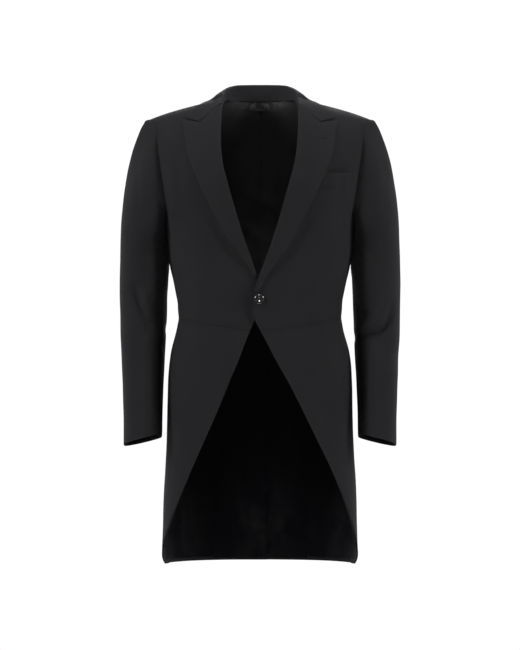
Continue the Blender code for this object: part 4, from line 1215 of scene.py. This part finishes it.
def turned_button(name):
    """Draws the button ring by ring from its dished face to its back, and drills its thread holes."""
    first = BUTTON_RINGS[0]
    bpy.ops.object.select_all(action="DESELECT")
    bpy.ops.mesh.primitive_circle_add(vertices=64, radius=first.radius * MM, fill_type="NOTHING",
                                      location=(0, 0, first.height * MM))
    button = bpy.context.active_object
    button.name = button.data.name = name
    bpy.ops.object.transform_apply(location=True, rotation=True, scale=True)
    edit("EDGE")
    for was, ring in zip(BUTTON_RINGS, BUTTON_RINGS[1:]):
        rise = (ring.height - was.height) * MM
        bpy.ops.mesh.extrude_region_move(TRANSFORM_OT_translate={"value": (0, 0, rise)})
        grow = ring.radius / was.radius
        bpy.ops.transform.resize(value=(grow, grow, 1), center_override=(0, 0, ring.height * MM))
    bpy.ops.mesh.edge_face_add()
    bpy.ops.mesh.select_all(action="DESELECT")
    bpy.ops.mesh.select_non_manifold()
    bpy.ops.mesh.edge_face_add()
    bpy.ops.mesh.select_all(action="SELECT")
    bpy.ops.mesh.normals_make_consistent(inside=False)
    bpy.ops.object.mode_set(mode="OBJECT")
    drills = []
    for quarter in range(4):
        turn = math.radians(45 + 90 * quarter)
        place = (math.cos(turn) * BUTTON_HOLE_OUT * MM, math.sin(turn) * BUTTON_HOLE_OUT * MM, 0)
        bpy.ops.mesh.primitive_cylinder_add(vertices=20, radius=0.75 * MM, depth=9 * MM, location=place)
        drills.append(bpy.context.active_object)
    for drill in drills:
        drill.select_set(True)
    bpy.ops.object.join()
    drill = bpy.context.active_object
    modify(button, "thread holes", "BOOLEAN", operation="DIFFERENCE", solver="EXACT", object=drill)
    bpy.data.objects.remove(drill)
    bevel(button, "worn edges", 50, 0.12 * MM)
    bpy.ops.object.shade_smooth_by_angle(angle=math.radians(40))
    return button


def button_threads(place):
    """Three threads through each pair of holes, and the stem wound under the button."""
    reach = BUTTON_HOLE_OUT / math.sqrt(2)
    arch = ((-reach, -2.6), (-reach, 0.4), (-0.7 * reach, 1.25), (0, 1.42), (0.7 * reach, 1.25), (reach, 0.4),
            (reach, -2.6))
    rows = [high * reach + beside for high in (-1, 1) for beside in (-0.28, 0.0, 0.28)]
    paths = [[(x, row, height) for x, height in arch] for row in rows]
    stem = [(math.cos(turn) * 1.5, math.sin(turn) * 1.5, -1.7 - 0.11 * turn)
            for turn in np.linspace(0, math.tau * 2.2, 40)]
    return [[place @ (Vector(point) * MM) for point in path] for path in (*paths, stem)]


class COAT_OT_button(bpy.types.Operator):
    """Turns and drills the front button and sews it on"""

    bl_idname = "coat.front_button"
    bl_label = "Front Button"

    def execute(self, context):
        middle, right, up, out = button_frame()
        button = turned_button("front_button_horn")
        place = Matrix.Translation(middle) @ Matrix((right, up, out)).transposed().to_4x4()
        button.matrix_world = place
        bpy.ops.object.transform_apply(location=True, rotation=True, scale=True)
        surfaced(button, horn())
        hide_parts(FRONT_BUTTON)
        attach(button, "root")
        cords("front_button_thread", button_threads(place), 0.24 * MM, thread())
        return {"FINISHED"}


class COAT_OT_sewing(bpy.types.Operator):
    """Works the buttonholes, the welt's bar tacks, the edges' pick stitches and the stays inside the seams"""

    bl_idname = "coat.sewing"
    bl_label = "Hand Sewing"

    def buttonhole(self, name, piece, ends, purl):
        """Two corded lips round a slit, with a bar tack across one end."""
        start, end = (np.array(place, float) for place in ends)
        along = (end - start) / np.linalg.norm(end - start)
        across = np.array([-along[1], along[0]])
        lips = []
        for lip in (-1, 1):
            path = [start + along * t + across * lip * w for t, w in (
                (-1.6, 0.2), (-1.2, 1.3), (0.4, 1.75), (1.8, 1.15), (4.0, 0.85), (12.0, 0.8),
                (np.linalg.norm(end - start), 0.8))]
            lips.append(on_cloth(piece, path, purl * 0.35))
        bar = [on_cloth(piece, [end + across * w for w in (-1.8, -0.9, 0.9, 1.8)], purl * 0.8)]
        cords(name, lips + bar, purl, thread(), 2)

    def stays(self):
        """A small mat of stitches inside the cloth wherever seams cross."""
        co = np.array([tuple(place) for place in CROSSINGS])
        co[:, 1] -= armhole_tuck(co, RUNS["armholes"](co))
        rows = []
        for place in co:
            cloth = min((bpy.data.objects[f"{node}_wool"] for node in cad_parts
                         if family_of(node) == "wool" and f"{node}_wool" in bpy.data.objects),
                        key=lambda piece: (Vector(place) - piece.closest_point_on_mesh(place)[1]).length)
            _, _, normal, _ = cloth.closest_point_on_mesh(place)
            across = normal.orthogonal().normalized() * STAY_LONG
            along = normal.cross(across)
            middle = Vector(place)
            for step in (-0.7, -0.35, 0.0, 0.35, 0.7):
                rows.append([middle + along * step - across, middle + along * step + across])
        cords("seam_stays", rows, 0.4 * MM, satin())

    def welt_tacks(self):
        """Three short stitches side by side at each corner of the chest welt."""
        tacks = [on_cloth("chest_welt_wool", [(x + beside, z + 1.6), (x + beside, z - 1.6)], 0.0001)
                 for x, z in WELT_CORNERS for beside in (-0.5, 0.0, 0.5)]
        cords("welt_bar_tacks", tacks, 0.22 * MM, thread())

    def pick_stitches(self, sewing):
        """Rows of single stitches that show along the finished edges."""
        rows = []
        for edge in STITCHED_EDGES:
            path = np.array(edge.path, float)
            run = run_along(path)
            inwards = np.array(edge.inwards) / np.linalg.norm(edge.inwards) * sewing.stitch_in / MM
            for begin in np.arange(4, run[-1] - 2, sewing.stitch_step / MM):
                ends = [begin, begin + sewing.stitch_long / MM]
                seen = np.stack([np.interp(ends, run, path[:, i]) for i in range(2)], axis=1) + inwards
                rows.append(on_cloth(edge.piece, seen, 0.00004))
        cords("pick_stitches", rows, 0.16 * MM, thread())

    def execute(self, context):
        sewing = sizes("coat_sewing")
        self.buttonhole("lapel_buttonhole", "lapel_left_wool", LAPEL_HOLE, sewing.purl)
        middle = button_frame()[0] / MM
        ends = ((middle.x, middle.z), (middle.x + FRONT_HOLE_REACH, middle.z + 0.6))
        self.buttonhole("front_buttonhole", "forepart_left_wool", ends, sewing.purl)
        self.welt_tacks()
        self.stays()
        self.pick_stitches(sewing)
        return {"FINISHED"}


class COAT_OT_body(bpy.types.Operator):
    """Makes the foreparts, side bodies, backs and skirts"""

    bl_idname = "coat.body_panels"
    bl_label = "Body Panels"

    def execute(self, context):
        for side in SIDES:
            for kind in WOOL_PANELS:
                dress(f"{kind}_{side}", wool(), creases=BODY_CREASES)
        return {"FINISHED"}


class COAT_OT_lapels(bpy.types.Operator):
    """Makes the lapels, the collar and the chest welt"""

    bl_idname = "coat.lapels_collar_welt"
    bl_label = "Lapels, Collar and Welt"

    def execute(self, context):
        for side in SIDES:
            dress(f"lapel_{side}", wool(), creases=BODY_CREASES + LAPEL_ROLLS)
        dress("collar", wool())
        dress("chest_welt", wool(), creases=BODY_CREASES)
        return {"FINISHED"}


class COAT_OT_sleeves(bpy.types.Operator):
    """Makes the two-piece sleeves"""

    bl_idname = "coat.sleeves"
    bl_label = "Sleeves"

    def execute(self, context):
        for side in SIDES:
            for kind in SLEEVES:
                dress(f"{kind}_{side}", wool())
        return {"FINISHED"}


class COAT_OT_linings(bpy.types.Operator):
    """Makes the satin linings, the wool facings of the skirts and the hanger loop"""

    bl_idname = "coat.linings"
    bl_label = "Linings, Facings and Loop"

    def execute(self, context):
        loose = BODY_CREASES + LINING_CREASES
        for side in SIDES:
            dress(f"back_lining_{side}", satin(), "black_satin_lining", creases=loose)
            dress(f"skirt_lining_{side}", satin(), "black_satin_lining", creases=loose)
            dress(f"cuff_lining_{side}", satin(), "black_satin_lining")
            dress(f"skirt_facing_{side}", wool(), creases=BODY_CREASES)
        dress("hanger_loop", tape(), "black_satin_lining")
        return {"FINISHED"}


def studio_air():
    """White air behind the coat, dim on the camera's side, so that satin shows no glare."""
    world = bpy.data.worlds.new("studio_air")
    world.use_nodes = True
    tree = world.node_tree
    tree.nodes.clear()
    seen = tree.nodes.new("ShaderNodeBackground")
    seen.inputs["Color"].default_value = (1, 1, 1, 1)
    seen.inputs["Strength"].default_value = 1.03
    lights = tree.nodes.new("ShaderNodeBackground")
    lights.inputs["Color"].default_value = (0.97, 0.98, 1.0, 1)
    _, y, z = apart(tree, tree.nodes.new("ShaderNodeTexCoord").outputs["Generated"])
    path = tree.nodes.new("ShaderNodeLightPath").outputs
    behind = spread(tree, y, -0.25, 0.3, 0.04, 1.3)
    shiny = math_node(tree, "MAXIMUM", behind, spread(tree, z, -0.75, -0.92, 0.0, 1.2))
    soft = spread(tree, y, -0.1, 0.6, 0.03, 0.14)
    power = tree.nodes.new("ShaderNodeMix")
    both = tree.nodes.new("ShaderNodeMixShader")
    end = tree.nodes.new("ShaderNodeOutputWorld")
    for value, socket in (
        (path["Is Diffuse Ray"], power.inputs[0]), (shiny, power.inputs[2]), (soft, power.inputs[3]),
        (power.outputs[0], lights.inputs["Strength"]), (path["Is Camera Ray"], both.inputs["Fac"]),
        (lights.outputs[0], both.inputs[1]), (seen.outputs[0], both.inputs[2]),
        (both.outputs[0], end.inputs["Surface"]),
    ):
        tree.links.new(value, socket)
    return world


def studio_floor(height):
    """A round floor and backdrop, drawn out from its middle in rings."""
    middle = (0, 0, height)
    bpy.ops.object.select_all(action="DESELECT")
    bpy.ops.mesh.primitive_circle_add(vertices=128, radius=0.9, fill_type="NGON", location=middle)
    floor = bpy.context.active_object
    floor.name = "studio_floor"
    bpy.ops.object.transform_apply(location=True, rotation=True, scale=True)
    edit("FACE")
    bpy.ops.mesh.inset(thickness=0.3, depth=0)
    bpy.ops.mesh.select_all(action="DESELECT")
    bpy.ops.object.mode_set(mode="OBJECT")
    for edge in floor.data.edges:
        edge.select = all(floor.data.vertices[i].co.xy.length > 0.89 for i in edge.vertices)
    bpy.ops.object.mode_set(mode="EDIT")
    bpy.ops.mesh.select_mode(type="EDGE")
    for reach, drop in ((2.2, 0), (1.4, 0), (1.01, -0.01), (1.0, -0.05)):
        bpy.ops.mesh.extrude_region_move(TRANSFORM_OT_translate={"value": (0, 0, drop)})
        bpy.ops.transform.resize(value=(reach, reach, 1), center_override=middle)
    bpy.ops.mesh.select_all(action="SELECT")
    bpy.ops.mesh.normals_make_consistent(inside=False)
    bpy.ops.object.mode_set(mode="OBJECT")
    if floor.data.polygons[0].normal.z < 0:
        floor.data.flip_normals()
    floor.data.materials.append(paper())
    floor.visible_glossy = False


def softbox(light, key):
    """A soft rectangular light that faces a place."""
    bpy.ops.object.light_add(type="AREA", location=light.place)
    made = bpy.context.active_object
    made.name = light.name
    made.data.shape = "RECTANGLE"
    made.data.size, made.data.size_y = light.wide, light.tall
    made.data.energy = key * light.share
    made.rotation_mode = "QUATERNION"
    made.rotation_quaternion = (Vector(light.at) - Vector(light.place)).to_track_quat("-Z", "Y")


def studio_camera(away, height, view_tall):
    """A camera that faces the coat's front, level with the floor."""
    eye = bpy.data.cameras.new("camera")
    eye.sensor_fit = "AUTO"
    eye.sensor_width = 36
    eye.lens = eye.sensor_width * away / view_tall
    eye.clip_end = 40
    camera = bpy.data.objects.new("camera", eye)
    bpy.context.scene.collection.objects.link(camera)
    camera.location = (0, -away, height)
    camera.rotation_euler = (math.radians(90), 0, 0)
    bpy.context.scene.camera = camera


class COAT_OT_studio(bpy.types.Operator):
    """Makes the pale floor and backdrop, the soft lights and the camera"""

    bl_idname = "coat.studio"
    bl_label = "Studio"

    def execute(self, context):
        studio = sizes("coat_studio")
        studio_floor(studio.floor)
        context.scene.world = studio_air()
        for light in LIGHTS:
            softbox(light, studio.key_light)
        studio_camera(studio.camera_away, studio.camera_height, studio.view_tall)
        context.scene.view_settings.view_transform = "Standard"
        return {"FINISHED"}


class COAT_PT_panel(bpy.types.Panel):
    """Lists the coat's pieces and their sizes"""

    bl_idname = "COAT_PT_panel"
    bl_label = "Morning Coat"
    bl_space_type = "VIEW_3D"
    bl_region_type = "UI"
    bl_category = "Coat"

    def draw(self, context):
        for name in GROUPS:
            box = self.layout.box()
            held = getattr(context.scene, name)
            for key in held.__annotations__:
                box.prop(held, key)
        for made in OPERATORS:
            self.layout.operator(made.bl_idname)


GROUPS = {
    "coat_cloth": ClothSizes,
    "coat_colours": CoatColours,
    "coat_sewing": SewingSizes,
    "coat_studio": StudioSizes,
}
OPERATORS = (
    COAT_OT_studio, COAT_OT_body, COAT_OT_lapels, COAT_OT_sleeves, COAT_OT_linings, COAT_OT_button,
    COAT_OT_sewing,
)


def register():
    for made in (*GROUPS.values(), *OPERATORS, COAT_PT_panel):
        bpy.utils.register_class(made)
    for name, made in GROUPS.items():
        setattr(bpy.types.Scene, name, PointerProperty(type=made))


def unregister():
    for name in GROUPS:
        delattr(bpy.types.Scene, name)
    for made in reversed((*GROUPS.values(), *OPERATORS, COAT_PT_panel)):
        bpy.utils.unregister_class(made)


def main():
    register()
    cut_pieces()
    bpy.ops.coat.studio()
    bpy.ops.coat.body_panels()
    bpy.ops.coat.lapels_collar_welt()
    bpy.ops.coat.sleeves()
    bpy.ops.coat.linings()
    bpy.ops.coat.front_button()
    bpy.ops.coat.sewing()


if __name__ == "__main__":
    main()
